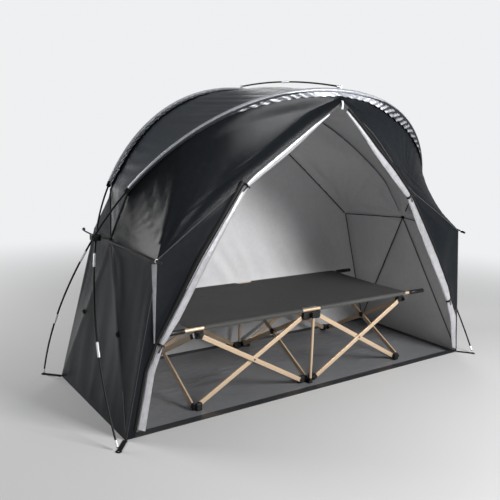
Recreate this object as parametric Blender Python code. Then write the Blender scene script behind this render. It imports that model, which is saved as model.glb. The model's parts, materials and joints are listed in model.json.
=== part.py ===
# Shelter tent on two crossed hoop poles, with the folding camp bed that stands in it.
# Metres, +Z up. The long side with the door faces -Y, the origin is on the ground under the middle.
import math

import bmesh
import bpy
from mathutils import Matrix, Vector
from mathutils.geometry import tessellate_polygon

for leftover in list(bpy.data.objects):
    bpy.data.objects.remove(leftover, do_unlink=True)

gap = 0.0003          # least clearance between two pieces
seamInset = 0.0002    # cut edge of a fabric panel to the line of its seam

# tent body, half sizes
groundHalfLength = 1.178
groundHalfDepth = 0.440
eaveHalfLength = 1.039
rearEaveHalfLength = 0.965   # the back wall's eave is shorter than the front's
eaveHeight = 0.8225
wallLean = 0.034      # how far the long walls lean out per metre of height, up to the eaves
apexHeight = 1.552
gableBow = 0.014      # how far the gable seam bows up between eave and apex
seamSteps = 14
junctionHalfLength = 1.0576
junctionHeight = 0.848
fabricThickness = 0.002
floorThickness = 0.003
floorBandWidth = 0.045

# hoop poles
poleRadius = 0.00475
poleFootHalfLength = 1.248
poleFootHalfDepth = 0.518
hubHeight = 0.858
frontTopHeight = 1.607
frontTopDepth = 0.441
rearTopHeight = 1.6455   # the back hoop stands a little higher
rearTopDepth = 0.455
hubHalfLength = 1.140
hoopSideStep = 0.0055  # one hoop passes outside the other at the crossing
hubTangentDegrees = 106.5
footTangentDegrees = 86.2
handleHubUp = 0.3968
frontHandleTop = 0.710
rearHandleTop = 0.600
handleHubDown = 0.3505
handleFoot = 0.3488
sleeveStart = 0.225   # where the sleeve begins, as a share of the upper curve
sleeveRadius = 0.012
sleeveBore = 0.0056
seamDrop = 0.0116     # hoop centre to the seam line under its sleeve
tipHeight = 0.035
ferruleRadius = 0.0062
ferruleLength = 0.070
ferruleHeights = (0.380, 0.750)

# brow poles and ridge pole
browRadius = 0.004
browHubHalfLength = 1.123
browEndHalfLength = 1.050
browRearHalfLength = 1.020   # the pole stands off the shorter rear eave
browEndHalfDepth = 0.482
browTipHalfDepth = 0.515
ridgeRadius = 0.0045
ridgeBow = 0.026
clipRadius = 0.0085

# door
rollHalfThickness = 0.010
tieInside = 0.0010    # from the tied roll to the inner and outer side of its tie
tieOutside = 0.0034
# across and up on the front wall, and half width, from the apex down to the floor
leftRollPath = [(-0.085, 1.484, 0.0060), (-0.330, 1.309, 0.0145), (-0.577, 1.138, 0.0120),
                (-0.793, 0.799, 0.0215), (-0.939, 0.538, 0.0235), (-1.011, 0.428, 0.0165),
                (-1.056, 0.303, 0.0220), (-1.100, 0.030, 0.0235)]
rightRollPath = [(0.030, 1.507, 0.0060), (0.132, 1.423, 0.0120), (0.260, 1.306, 0.0185),
                 (0.411, 1.181, 0.0215), (0.552, 1.055, 0.0160), (0.677, 0.876, 0.0265),
                 (0.841, 0.652, 0.0300), (0.978, 0.455, 0.0280), (1.024, 0.376, 0.0200),
                 (1.091, 0.247, 0.0290), (1.142, 0.030, 0.0180)]
leftTies = (2, 5)     # corners of the path with a tie, upper and lower
rightTies = (4, 8)
leftSeamStep = 6      # seam corner where the left wall runs out at its upper tie
rightSeamStep = 13
rightWallFoot = 0.300  # lower edge of the front wall between the right roll and the corner

# camp bed
bedX = -0.025
railHalfLength = 0.935
railHeight = 0.428
railRadius = 0.0095
railY = 0.335
columnSpacing = 0.736
midPivotOffset = 0.046
endPivotInset = 0.020
footPivotHeight = 0.022
topPivotHeight = 0.394
legHalfWidth = 0.0128
legThickness = 0.010
pinRadius = 0.003
holeRadius = 0.0034
hemHalfLength = 0.735
midCutHalf = 0.052


def material(name, colour, roughness, metallic=0.0):
    made = bpy.data.materials.new(name)
    made.use_nodes = True
    shader = made.node_tree.nodes["Principled BSDF"]
    shader.inputs["Base Color"].default_value = (*colour, 1.0)
    shader.inputs["Roughness"].default_value = roughness
    shader.inputs["Metallic"].default_value = metallic
    return made


looks = {
    "outer": ((0.035, 0.040, 0.047), 0.55, 0.0),
    "silver": ((0.62, 0.63, 0.66), 0.50, 0.0),
    "floor": ((0.12, 0.12, 0.13), 0.60, 0.0),
    "webbing": ((0.015, 0.015, 0.016), 0.80, 0.0),
    "glass_pole": ((0.012, 0.012, 0.013), 0.35, 0.0),
    "bright": ((0.80, 0.80, 0.82), 0.25, 1.0),
    "plastic": ((0.012, 0.012, 0.013), 0.45, 0.0),
    "tube": ((0.60, 0.44, 0.29), 0.35, 1.0),
    "bed": ((0.055, 0.054, 0.052), 0.85, 0.0),
}


def finish(name, bm, look):
    bmesh.ops.recalc_face_normals(bm, faces=bm.faces)
    mesh = bpy.data.meshes.new(name)
    bm.to_mesh(mesh)
    bm.free()
    made = bpy.data.objects.new(name, mesh)
    bpy.context.collection.objects.link(made)
    if look is not None:
        mesh.materials.append(material(name + "_" + look, *looks[look]))
    return made


def helper(fill):
    """Hidden shape that is joined to a piece or cut from it."""
    bm = bmesh.new()
    fill(bm)
    made = finish("helper", bm, None)
    made.hide_render = True
    made.display_type = 'WIRE'
    return made


def combine(target, shapes, operation):
    for shape in shapes:
        step = target.modifiers.new("combine", 'BOOLEAN')
        step.operation = operation
        step.solver = 'EXACT'
        step.object = shape
    bpy.context.view_layer.update()
    graph = bpy.context.evaluated_depsgraph_get()
    result = bpy.data.meshes.new_from_object(target.evaluated_get(graph))
    target.modifiers.clear()
    target.data = result
    for shape in shapes:
        bpy.data.objects.remove(shape, do_unlink=True)
    return target


def add_box(bm, low, high, bevel=0.0):
    """Box between two corners in any order, its edges cut back by bevel."""
    size = [abs(b - a) for a, b in zip(low, high)]
    centre = [(a + b) / 2 for a, b in zip(low, high)]
    before = set(bm.edges)
    bmesh.ops.create_cube(bm, size=1.0,
                          matrix=Matrix.Translation(centre) @ Matrix.Diagonal((*size, 1.0)))
    if bevel > 0:
        bmesh.ops.bevel(bm, geom=[e for e in bm.edges if e not in before], offset=bevel, segments=1,
                        affect='EDGES', profile=0.5)


def add_prism(bm, loop, shift):
    """Flat outline carried along shift."""
    face = bm.faces.new([bm.verts.new(p) for p in loop])
    grown = bmesh.ops.extrude_face_region(bm, geom=[face])
    bmesh.ops.translate(bm, vec=shift, verts=[v for v in grown["geom"] if isinstance(v, bmesh.types.BMVert)])


def frames(points, normal=None):
    """Centre, side and up vectors along a path; normal fixes the up direction."""
    out = []
    side = None
    for i, point in enumerate(points):
        ahead = points[min(i + 1, len(points) - 1)] - points[max(i - 1, 0)]
        ahead.normalize()
        if normal is not None:
            across = normal.cross(ahead).normalized()
        elif side is None:
            guide = Vector((0, 0, 1)) if abs(ahead.z) < 0.9 else Vector((1, 0, 0))
            across = guide.cross(ahead).normalized()
        else:
            across = (side - ahead * side.dot(ahead)).normalized()
        side = across
        out.append((point, across, ahead.cross(across).normalized()))
    return out


def add_sweep(bm, points, wide, thick=None, sides=8, bore=None, normal=None, phase=0.5):
    """Solid or hollow tube along a path. wide and thick are half sizes, one number or one per point."""
    thick = wide if thick is None else thick
    wide = wide if isinstance(wide, list) else [wide] * len(points)
    thick = thick if isinstance(thick, list) else [thick] * len(points)

    def ring(centre, across, up, a, b):
        out = []
        for k in range(sides):
            turn = 2 * math.pi * (k + phase) / sides
            out.append(bm.verts.new(centre + across * (a * math.cos(turn)) + up * (b * math.sin(turn))))
        return out

    def skin(rings):
        for first, second in zip(rings, rings[1:]):
            for k in range(sides):
                bm.faces.new((first[k], first[(k + 1) % sides], second[(k + 1) % sides], second[k]))

    path = frames(points, normal)
    outer = [ring(c, s, u, wide[i], thick[i]) for i, (c, s, u) in enumerate(path)]
    skin(outer)
    if bore is None:
        bm.faces.new(outer[0])
        bm.faces.new(outer[-1])
        return
    inner = [ring(c, s, u, wide[i] * bore, thick[i] * bore) for i, (c, s, u) in enumerate(path)]
    skin(inner)
    for end in (0, -1):
        for k in range(sides):
            n = (k + 1) % sides
            bm.faces.new((outer[end][k], outer[end][n], inner[end][n], inner[end][k]))


def bezier(a, b, c, d, steps):
    out = []
    for i in range(steps + 1):
        t = i / steps
        out.append(a * (1 - t) ** 3 + b * (3 * t * (1 - t) ** 2) + c * (3 * t * t * (1 - t)) + d * t ** 3)
    return out


def polar(degrees, length):
    return Vector((math.cos(math.radians(degrees)), math.sin(math.radians(degrees)))) * length


def line_lengths(points):
    lengths = [0.0]
    for a, b in zip(points, points[1:]):
        lengths.append(lengths[-1] + (b - a).length)
    return lengths


def at_lengths(points, wanted):
    """Points at given distances along a line."""
    lengths = line_lengths(points)
    out, j = [], 0
    for want in wanted:
        while j < len(points) - 2 and lengths[j + 1] < want:
            j += 1
        out.append(points[j].lerp(points[j + 1], (want - lengths[j]) / (lengths[j + 1] - lengths[j])))
    return out


def resample(points, count):
    total = line_lengths(points)[-1]
    return at_lengths(points, [total * i / count for i in range(count + 1)])


# hoop curves: each hoop is an arch that leans over; x and s are measured along its slope
hubSlant = math.hypot(hubHeight, poleFootHalfDepth)


def hoop_top(lean):
    """Height and depth of a hoop's top; lean 1 for the front hoop, whose feet are at the back."""
    return (frontTopHeight, frontTopDepth) if lean > 0 else (rearTopHeight, rearTopDepth)


def top_slant(lean):
    height, depth = hoop_top(lean)
    return hubSlant + math.hypot(height - hubHeight, depth)


def hoop_plane(q, side, lean):
    """Point of a hoop in the world, from its place on the slope."""
    if q.y <= hubSlant:
        share = q.y / hubSlant
        return Vector((side * q.x, lean * poleFootHalfDepth * (1 - share), hubHeight * share))
    height, depth = hoop_top(lean)
    share = (q.y - hubSlant) / (top_slant(lean) - hubSlant)
    return Vector((side * q.x, -lean * depth * share, hubHeight + (height - hubHeight) * share))


def hoop_half(lean, stepsLow=60, stepsUp=160):
    """Lower and upper half curve in the plane, foot to crossing and crossing to top."""
    wider = hoopSideStep if lean > 0 else -hoopSideStep
    foot = Vector((poleFootHalfLength + wider, 0.0))
    hub = Vector((hubHalfLength + wider, hubSlant))
    top = Vector((0.0, top_slant(lean)))
    handleTop = frontHandleTop if lean > 0 else rearHandleTop
    low = bezier(foot, foot + polar(footTangentDegrees, handleFoot),
                 hub - polar(hubTangentDegrees, handleHubDown), hub, stepsLow)
    up = bezier(hub, hub + polar(hubTangentDegrees, handleHubUp), top + Vector((handleTop, 0.0)), top,
                stepsUp)
    return low, up


def hoop_curve(lean, start=0.0):
    """World points from the left sleeve end or foot over the top to the right one."""
    low, up = hoop_half(lean)
    half = low[:-1] + up if start == 0.0 else up[int(len(up) * start):]
    right = [hoop_plane(q, 1, lean) for q in half]
    left = [hoop_plane(q, -1, lean) for q in half]
    return left[:-1] + right[::-1]


def make_hoop(name, lean):
    """Sectional pole: thin tip at each foot, thicker ferrules on the bare lower legs."""
    curve = hoop_curve(lean)
    lengths = line_lengths(curve)
    total = lengths[-1]
    start = next(d for p, d in zip(curve, lengths) if p.z > 0.0012)
    stations = {start: 0.0033, start + 0.006: 0.0044, start + tipHeight: 0.0044,
                start + tipHeight + 0.0005: poleRadius}
    for height in ferruleHeights:
        middle = next(d for p, d in zip(curve, lengths) if p.z > height)
        for step, radius in ((-0.5, poleRadius), (-0.485, ferruleRadius), (0.485, ferruleRadius),
                             (0.5, poleRadius)):
            stations[middle + step * ferruleLength] = radius
    bounds = sorted(stations)
    for i in range(1, 42):
        even = total * i / 84
        if all(abs(even - d) > 0.012 for d in bounds) and not any(
                stations[a] == ferruleRadius and stations[b] == ferruleRadius and a < even < b
                for a, b in zip(bounds, bounds[1:])):
            stations[even] = poleRadius if even > start + tipHeight else 0.0044
    for d in list(stations):
        stations[total - d] = stations[d]
    stations[total / 2] = poleRadius
    wanted = sorted(stations)
    bm = bmesh.new()
    add_sweep(bm, at_lengths(curve, wanted), [stations[d] for d in wanted])
    return finish(name, bm, "glass_pole")


make_hoop("front_hoop_pole", 1)
make_hoop("rear_hoop_pole", -1)

for name, lean in (("front_sleeve", 1), ("rear_sleeve", -1)):
    height, depth = hoop_top(lean)
    bm = bmesh.new()
    add_sweep(bm, resample(hoop_curve(lean, sleeveStart), 52), sleeveRadius, bore=sleeveBore / sleeveRadius,
              normal=Vector((0, height - hubHeight, lean * depth)).normalized())
    finish(name, bm, "silver")

# ridge pole over the roof, from the top of one hoop to the top of the other, with its end caps
ridgeLift = 0.989 * sleeveRadius + clipRadius * math.cos(math.pi / 8) + 0.0004
ridgeMiddle = (rearTopDepth - frontTopDepth) / 2
ridgeHalf = (rearTopDepth + frontTopDepth) / 2


def ridge_point(y):
    """Point of the ridge pole at a distance from its middle."""
    t = y / ridgeHalf
    rise = (frontTopHeight + rearTopHeight) / 2 + (rearTopHeight - frontTopHeight) / 2 * t
    return Vector((0.0, ridgeMiddle + y, rise + ridgeLift + ridgeBow * (1 - t * t)))


ridgeReach = ridgeHalf + 0.012
ridgeStops = [(ridgeReach, clipRadius), (ridgeReach - 0.026, clipRadius), (ridgeReach - 0.0265, ridgeRadius),
              (0.36, ridgeRadius), (0.27, ridgeRadius), (0.18, ridgeRadius), (0.10, ridgeRadius),
              (0.0355, ridgeRadius), (0.035, 0.0060)]
ridgeStops = [(-y, r) for y, r in ridgeStops] + ridgeStops[::-1]
bm = bmesh.new()
add_sweep(bm, [ridge_point(y) for y, r in ridgeStops], [r for y, r in ridgeStops])
finish("ridge_pole", bm, "glass_pole")


def brow_point(side, y):
    reach = browEndHalfLength if y < 0 else browRearHalfLength
    bend = (browHubHalfLength - reach) / browEndHalfDepth ** 2
    drop = (hubHeight - eaveHeight) / browEndHalfDepth ** 2
    return Vector((side * (browHubHalfLength - bend * y * y), y, hubHeight - drop * y * y))


browStops = [(browTipHalfDepth, 0.0050), (browTipHalfDepth - 0.012, 0.0065),
             (browEndHalfDepth + 0.010, 0.0065),
             (browEndHalfDepth + 0.0095, browRadius), (browEndHalfDepth - 0.0095, browRadius),
             (0.38, browRadius), (0.28, browRadius), (0.18, browRadius), (0.09, browRadius),
             (0.03, browRadius)]
browStops = [(-y, r) for y, r in browStops] + [(0.0, browRadius)] + browStops[::-1]
for name, side in (("left_brow_pole", -1), ("right_brow_pole", 1)):
    bm = bmesh.new()
    add_sweep(bm, [brow_point(side, y) for y, r in browStops], [r for y, r in browStops])
    finish(name, bm, "glass_pole")


def channel(centre, direction, radius, length, sides=16):
    """Round cutter along a pole or a pin."""
    return helper(lambda bm: add_sweep(bm, [centre - direction * length / 2, centre + direction * length / 2],
                                       radius, sides=sides))


# clip at each crossing of the two hoops and the brow pole, with the webbing tongue to the end wall
for name, side in (("left_hub", -1), ("right_hub", 1)):
    bm = bmesh.new()
    add_box(bm, (side * (hubHalfLength - 0.027), -0.020, hubHeight - 0.016),
            (side * (hubHalfLength + 0.020), 0.020, hubHeight + 0.016), 0.004)
    hub = finish(name, bm, "plastic")
    cutters = []
    for lean in (1, -1):
        low, up = hoop_half(lean, 200, 200)
        before, after = hoop_plane(low[-6], side, lean), hoop_plane(up[5], side, lean)
        cutters.append(channel(hoop_plane(up[0], side, lean), (after - before).normalized(),
                               poleRadius + 0.0009, 0.16))
    cutters.append(channel(brow_point(side, 0.0), Vector((0, 1, 0)), browRadius + 0.0007, 0.16))
    combine(hub, cutters, 'DIFFERENCE')
    tongue = [Vector((side * (junctionHalfLength + 0.0006), 0, junctionHeight + 0.0002)),
              Vector((side * (hubHalfLength - 0.0255), 0, hubHeight - 0.004))]
    combine(hub, [helper(lambda bm: add_sweep(bm, tongue, 0.011, 0.0012, sides=4, normal=Vector((0, 0, 1))))],
            'UNION')

# webbing from each ground corner out to its pole foot, with the eyelet that the pole tip stands in
for side in (-1, 1):
    for face in (-1, 1):
        wider = -hoopSideStep if face < 0 else hoopSideStep
        corner = Vector((side * groundHalfLength, face * groundHalfDepth, 0.0))
        foot = Vector((side * (poleFootHalfLength + wider), face * poleFootHalfDepth, 0.0))
        ahead = (foot - corner).normalized()
        across = Vector((-ahead.y, ahead.x, 0)) * 0.011
        start, end = corner + ahead * 0.0006, foot - ahead * 0.0085
        loop = [start + across, start - across, end - across]
        for k in range(9):
            turn = math.radians(-120 + 240 * k / 8)
            loop.append(foot + ahead * (0.014 * math.cos(turn)) + across.normalized() * (0.014 * math.sin(turn)))
        loop.append(end + across)
        bm = bmesh.new()
        add_prism(bm, loop, (0, 0, 0.0028))
        name = "corner_strap_" + ("front" if face < 0 else "rear") + ("_left" if side < 0 else "_right")
        combine(finish(name, bm, "webbing"), [channel(foot, Vector((0, 0, 1)), 0.0052, 0.05)], 'DIFFERENCE')


# fabric panels: outer faces are laid out first, then each gets its thickness on the inner side,
# mitred along the seams that it shares with its neighbours
skins = []
floorTop = floorThickness + gap


def wall_point(x, z, face):
    """Point on a long wall; face -1 for the front, 1 for the back."""
    return Vector((x, face * (groundHalfDepth + wallLean * min(z, eaveHeight)), z))


def eave_half(face):
    return eaveHalfLength if face < 0 else rearEaveHalfLength


def seam_corner(step, side, face):
    """Corner of the gable seam, step 0 at the eave and seamSteps at the apex."""
    t = step / seamSteps
    z = eaveHeight + (apexHeight - eaveHeight) * t + gableBow * 4 * t * (1 - t)
    return wall_point(side * eave_half(face) * (1 - t), z, face)


def ground_point(side, face):
    lean = (eave_half(face) - groundHalfLength) / eaveHeight
    return wall_point(side * (groundHalfLength + lean * floorTop), floorTop, face)


def lay(name, verts, polygons):
    """Keep a panel's outer surface until all are sewn together."""
    skins.append({"name": name, "verts": list(verts), "polygons": [list(p) for p in polygons]})


def share_points(skin):
    """Give a panel's edges every corner that its neighbours have on them."""
    verts = skin["verts"]
    seam = [q for other in skins if other is not skin for q in other["corners"]]
    added = {}
    for polygon in skin["polygons"]:
        grown = []
        for k, n in zip(polygon, polygon[1:] + polygon[:1]):
            grown.append(k)
            a, b = verts[k], verts[n]
            length = (b - a).length
            found = {}
            for q in seam:
                share = (q - a).dot(b - a) / length ** 2
                if 0.0005 < share * length < length - 0.0005 and edge_distance(q, a, b) < 0.00005:
                    found[round(share, 5)] = q
            for share in sorted(found):
                key = tuple(round(c, 4) for c in found[share])
                if key not in added:
                    added[key] = len(verts)
                    verts.append(found[share])
                grown.append(added[key])
        polygon[:] = grown


def face_out(skin):
    """Turn the faces away from the middle of the tent and find the panel's border."""
    verts, facing, edges = skin["verts"], [], {}
    for polygon in skin["polygons"]:
        normal = Vector((0, 0, 0))
        centre = sum((verts[k] for k in polygon), Vector((0, 0, 0))) / len(polygon)
        for k, n in zip(polygon, polygon[1:] + polygon[:1]):
            normal += (verts[k] - centre).cross(verts[n] - centre)
        if normal.dot(centre - Vector((0, 0, 0.7))) < 0:
            polygon = polygon[::-1]
            normal = -normal
        facing.append((tuple(polygon), normal.normalized()))
    for polygon, normal in facing:
        for k, n in zip(polygon, polygon[1:] + polygon[:1]):
            key = (min(k, n), max(k, n))
            edges[key] = None if key in edges else (k, n, normal)
    skin["faces"] = facing
    skin["border"] = [e for e in edges.values() if e is not None]


def edge_distance(p, a, b):
    along = b - a
    share = max(0.0, min(1.0, (p - a).dot(along) / along.length_squared))
    return (p - (a + along * share)).length


def inward_shift(p, normals):
    """Vector that moves a seam point inwards by the cloth's thickness from every panel meeting there."""
    kept = []
    for n in normals:
        if all(n.dot(k) < 0.9999 for k in kept):
            kept.append(n)
    total = Matrix(((1e-4, 0, 0), (0, 1e-4, 0), (0, 0, 1e-4)))
    right = Vector((0, 0, 0))
    for n in kept:
        for r in range(3):
            for c in range(3):
                total[r][c] += n[r] * n[c]
            right[r] -= n[r] * fabricThickness
    return total.inverted() @ right


def sew():
    for skin in skins:
        skin["corners"] = list(skin["verts"])
    for skin in skins:
        share_points(skin)
        face_out(skin)
    for skin in skins:
        verts = skin["verts"]
        own = {i: [] for i in range(len(verts))}
        for polygon, normal in skin["faces"]:
            for k in polygon:
                own[k].append(normal)
        inset = {i: [] for i in range(len(verts))}
        for a, b, normal in skin["border"]:
            inward = normal.cross((verts[b] - verts[a]).normalized()).normalized()
            inset[a].append(inward)
            inset[b].append(inward)
        outer, inner = [], []
        for i, p in enumerate(verts):
            if not inset[i]:
                outer.append(p)
                inner.append(p + inward_shift(p, own[i]))
                continue
            normals = list(own[i])
            for other in skins:
                if other is skin:
                    continue
                for a, b, normal in other["border"]:
                    if edge_distance(p, other["verts"][a], other["verts"][b]) < 0.0001:
                        normals.append(normal)
            miter = sum(inset[i], Vector((0, 0, 0))).normalized()
            step = miter * (seamInset / max(miter.dot(inset[i][0]), 0.3))
            outer.append(p + step)
            inner.append(p + step + inward_shift(p, normals))
        bm = bmesh.new()
        top = [bm.verts.new(p) for p in outer]
        low = [bm.verts.new(p) for p in inner]
        for polygon, normal in skin["faces"]:
            bm.faces.new([top[k] for k in polygon])
            bm.faces.new([low[k] for k in polygon][::-1])
        for a, b, normal in skin["border"]:
            bm.faces.new((top[b], top[a], low[a], low[b]))
        bmesh.ops.triangulate(bm, faces=bm.faces)
        finish(skin["name"], bm, "outer")


for name, side in (("left_end_wall", -1), ("right_end_wall", 1)):
    lay(name, [Vector((side * junctionHalfLength, 0, junctionHeight)),
               wall_point(side * eaveHalfLength, eaveHeight, -1), ground_point(side, -1),
               ground_point(side, 1), wall_point(side * rearEaveHalfLength, eaveHeight, 1)],
        [(0, 1, 2), (0, 2, 3), (0, 3, 4)])

def lay_flat(name, flat, face):
    """Lay a panel given as a closed outline on the wall."""
    triangles = tessellate_polygon([[Vector((x, z, 0)) for x, z in flat]])
    lay(name, [wall_point(x, z, face) for x, z in flat], triangles)


seamRight = [seam_corner(i, 1, 1) for i in range(seamSteps + 1)]
seamLeft = [seam_corner(i, -1, 1) for i in range(seamSteps)]
outline = [ground_point(-1, 1), ground_point(1, 1)] + seamRight + seamLeft[::-1]
lay("back_wall", outline, [(0, 1, 2, len(outline) - 1), tuple(range(2, len(outline)))])


def roll_edge(path, ties, sign):
    """Cut edge of the front wall beside a rolled-up door half and its ties, in wall coordinates."""
    flat = [Vector(p[:2]) for p in path]
    out = []
    for i, p in enumerate(flat):
        a = (p - flat[i - 1]).normalized() if i > 0 else (flat[1] - p).normalized()
        b = (flat[i + 1] - p).normalized() if i < len(flat) - 1 else a
        n1, n2 = Vector((a.y, -a.x)), Vector((b.y, -b.x))
        miter = (n1 + n2).normalized()
        beside = path[i][2] * 1.03 + tieOutside + 0.0009 if i in ties else path[i][2]
        out.append(p + miter * (sign * (beside + gap) / miter.dot(n1)))
    return out


def at_height(a, b, z):
    """Point at height z on the line through two points of the wall."""
    share = (a.y - z) / (a.y - b.y)
    return (a.x + (b.x - a.x) * share, z)


def seam_flat(steps, side):
    corners = [seam_corner(i, side, -1) for i in steps]
    return [(c.x, c.z) for c in corners]


edge = roll_edge(leftRollPath, leftTies, 1)
ground = ground_point(-1, -1)
lay_flat("front_wall_left",
         [(ground.x, ground.z), at_height(edge[-2], edge[-1], floorTop)]
         + [tuple(p) for p in edge[-2:leftTies[0]:-1]] + seam_flat(range(leftSeamStep, -1, -1), -1), -1)

edge = roll_edge(rightRollPath, rightTies, -1)
sideX = groundHalfLength + (eaveHalfLength - groundHalfLength) * rightWallFoot / eaveHeight
lay_flat("front_wall_right",
         [at_height(edge[rightTies[1]], edge[rightTies[1] + 1], rightWallFoot), (sideX, rightWallFoot)]
         + seam_flat(range(rightSeamStep + 1), 1) + [tuple(p) for p in edge[1:rightTies[1] + 1]], -1)


# roof and canopies: strips between the seam under a hoop and the next seam
def gable_seam(face):
    """Junction, eave corner, apex and back down, with each point's share of the half line."""
    junction = Vector((junctionHalfLength, 0.0, junctionHeight))
    corner = wall_point(eave_half(face), eaveHeight, face)
    half = [junction.lerp(corner, max(i, 0.3) / 5) for i in range(5)]
    half += [seam_corner(i, 1, face) for i in range(seamSteps + 1)]
    lengths = line_lengths([junction] + half)
    shares = [length / lengths[-1] for length in lengths[1:]]
    left = [Vector((-p.x, p.y, p.z)) for p in half]
    return left[:-1] + half[::-1], shares


def hoop_seam(lean, shares):
    """Points under the sleeve, from the left end junction over the top to the right one."""
    low, up = hoop_half(lean)
    start = int(len(up) * sleeveStart)
    flat = []
    for i in range(start, len(up) - 1):
        ahead = (up[i + 1] - up[i - 1]).normalized()
        flat.append(up[i] + Vector((-ahead.y, ahead.x)) * seamDrop)
    flat.append(Vector((0.0, top_slant(lean) - seamDrop)))
    line = [Vector((junctionHalfLength, 0.0, junctionHeight))] + [hoop_plane(q, 1, lean) for q in flat]
    total = line_lengths(line)[-1]
    half = at_lengths(line, [total * s for s in shares])
    return [Vector((-p.x, p.y, p.z)) for p in half[:-1]] + half[::-1]


def lay_strip(name, edgeA, edgeB, across):
    verts = [a.lerp(b, k / across) for a, b in zip(edgeA, edgeB) for k in range(across + 1)]
    wide = across + 1
    quads = []
    for i in range(len(edgeA) - 1):
        for k in range(across):
            quads.append((i * wide + k, i * wide + k + 1, (i + 1) * wide + k + 1, (i + 1) * wide + k))
    lay(name, verts, quads)


frontGable, shares = gable_seam(-1)
backGable, _ = gable_seam(1)
frontSeam, rearSeam = hoop_seam(1, shares), hoop_seam(-1, shares)
lay_strip("roof_panel", frontSeam, rearSeam, 4)
lay_strip("front_canopy", frontGable, frontSeam, 3)
lay_strip("rear_canopy", backGable, rearSeam, 3)
sew()

# floor with a black band sewn round it
bm = bmesh.new()
innerX, innerY = groundHalfLength - floorBandWidth, groundHalfDepth - floorBandWidth
add_box(bm, (-innerX + gap, -innerY + gap, 0.0), (innerX - gap, innerY - gap, floorThickness))
finish("groundsheet", bm, "floor")
bm = bmesh.new()
loops = []
for z in (0.0, floorThickness):
    for x, y in ((groundHalfLength, groundHalfDepth), (innerX, innerY)):
        loops.append([bm.verts.new((sx * x, sy * y, z)) for sx, sy in ((-1, -1), (1, -1), (1, 1), (-1, 1))])
for first, second in ((0, 1), (1, 3), (3, 2), (2, 0)):
    for k in range(4):
        n = (k + 1) % 4
        bm.faces.new((loops[first][k], loops[first][n], loops[second][n], loops[second][k]))
finish("floor_edge_band", bm, "webbing")

# rolled-up door halves, drawn in where they are tied
rollNormal = Vector((0, -1, -wallLean)).normalized()


def roll_shape(path):
    """Even path beside the door with its half widths and half thicknesses."""
    points, wide, thick = [], [], []
    for p in resample([Vector(q) for q in path], 40):
        points.append(wall_point(p.x, p.y, -1) - rollNormal * 0.001)
        wide.append(p.z)
        thick.append(min(rollHalfThickness, p.z * 0.7))
    return points, wide, thick


for word, path, ties in (("left", leftRollPath, leftTies), ("right", rightRollPath, rightTies)):
    points, wide, thick = roll_shape(path)
    bm = bmesh.new()
    add_sweep(bm, points, wide, thick, sides=10, normal=rollNormal, phase=0.0)
    finish(word + "_door_roll", bm, "silver")
    for k, place in zip(ties, ("upper", "lower")):
        spot = wall_point(path[k][0], path[k][1], -1) - rollNormal * 0.001
        near = min(range(len(points)), key=lambda i: (points[i] - spot).length)
        ahead = (points[near + 1] - points[near - 1]).normalized()
        bm = bmesh.new()
        inside, outside = wide[near] * 1.03 + tieInside, wide[near] * 1.03 + tieOutside
        add_sweep(bm, [points[near] - ahead * 0.005, points[near] + ahead * 0.005], outside,
                  thick[near] * 1.03 + 0.0026, sides=10, bore=inside / outside, normal=rollNormal, phase=0.0)
        finish(f"{word}_{place}_door_tie", bm, "webbing")


# camp bed: legs cross in scissors along both long sides and across at both ends and the middle
def stand(name, at, parent=None):
    """Empty on a joint's axis, which the pieces of one moving body hang on."""
    made = bpy.data.objects.new(name, None)
    bpy.context.collection.objects.link(made)
    made["at"] = list(at)
    made.location = at
    if parent is not None:
        made.parent = parent
        made.location = Vector(at) - Vector(parent["at"])
    return made


def hang(piece, holder):
    piece.data.transform(Matrix.Translation(-Vector(holder["at"])))
    piece.parent = holder
    return piece


def leg(name, start, end, normal, holes, pin=None):
    """Flat tube with round ends from pivot to pivot, drilled, with its rivet if it carries one."""
    along = (end - start).normalized()
    across = normal.cross(along).normalized()
    loop = []
    for centre, turn in ((end, 0.0), (start, math.pi)):
        for k in range(7):
            angle = turn - math.pi / 2 + math.pi * k / 6
            loop.append(centre + along * (legHalfWidth * math.cos(angle))
                        + across * (legHalfWidth * math.sin(angle)) - normal * legThickness / 2)
    bm = bmesh.new()
    add_prism(bm, loop, normal * legThickness)
    made = finish(name, bm, "tube")
    combine(made, [channel(spot, normal, holeRadius, 0.03, 10) for spot in holes], 'DIFFERENCE')
    if pin is not None:
        centre, near, far = pin
        combine(made, [helper(lambda bm: add_sweep(bm, [centre + normal * near, centre + normal * far],
                                                   pinRadius,
                                                   sides=8))], 'UNION')
    return made


def pin_y(x, y, z, out, reach=0.0120, head=True, back=-0.003):
    """Pin along Y from inside a cheek, through a leg, to its head; reach is measured outwards."""
    def fill(bm):
        stops = [(back, pinRadius), (reach, pinRadius)]
        if head:
            stops += [(reach + 0.0002, 0.0065), (reach + 0.0026, 0.0055)]
        add_sweep(bm, [Vector((x, y + out * s, z)) for s, r in stops], [r for s, r in stops], sides=10)
    return helper(fill)


def pin_x(x, y, z, side, near, far, head=True):
    def fill(bm):
        stops = [(near, pinRadius), (far, pinRadius)]
        if head:
            stops += [(far + 0.0002, 0.0065), (far + 0.0026, 0.0055)]
        add_sweep(bm, [Vector((x + side * s, y, z)) for s, r in stops], [r for s, r in stops], sides=10)
    return helper(fill)


def block(low, high, bevel=0.0025):
    return helper(lambda bm: add_box(bm, low, high, bevel))


footBase = floorThickness + gap
railUnder = railHeight - railRadius - gap
planeStep = legThickness / 2 + 0.001     # leg's middle plane to the pivot plane
middleZ = (footPivotHeight + topPivotHeight) / 2
tags = {-1: "left", 1: "right"}
faces = {-1: "front", 1: "rear"}
legOut = legThickness + 0.0015           # from the pivot plane past a leg's far face


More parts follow.
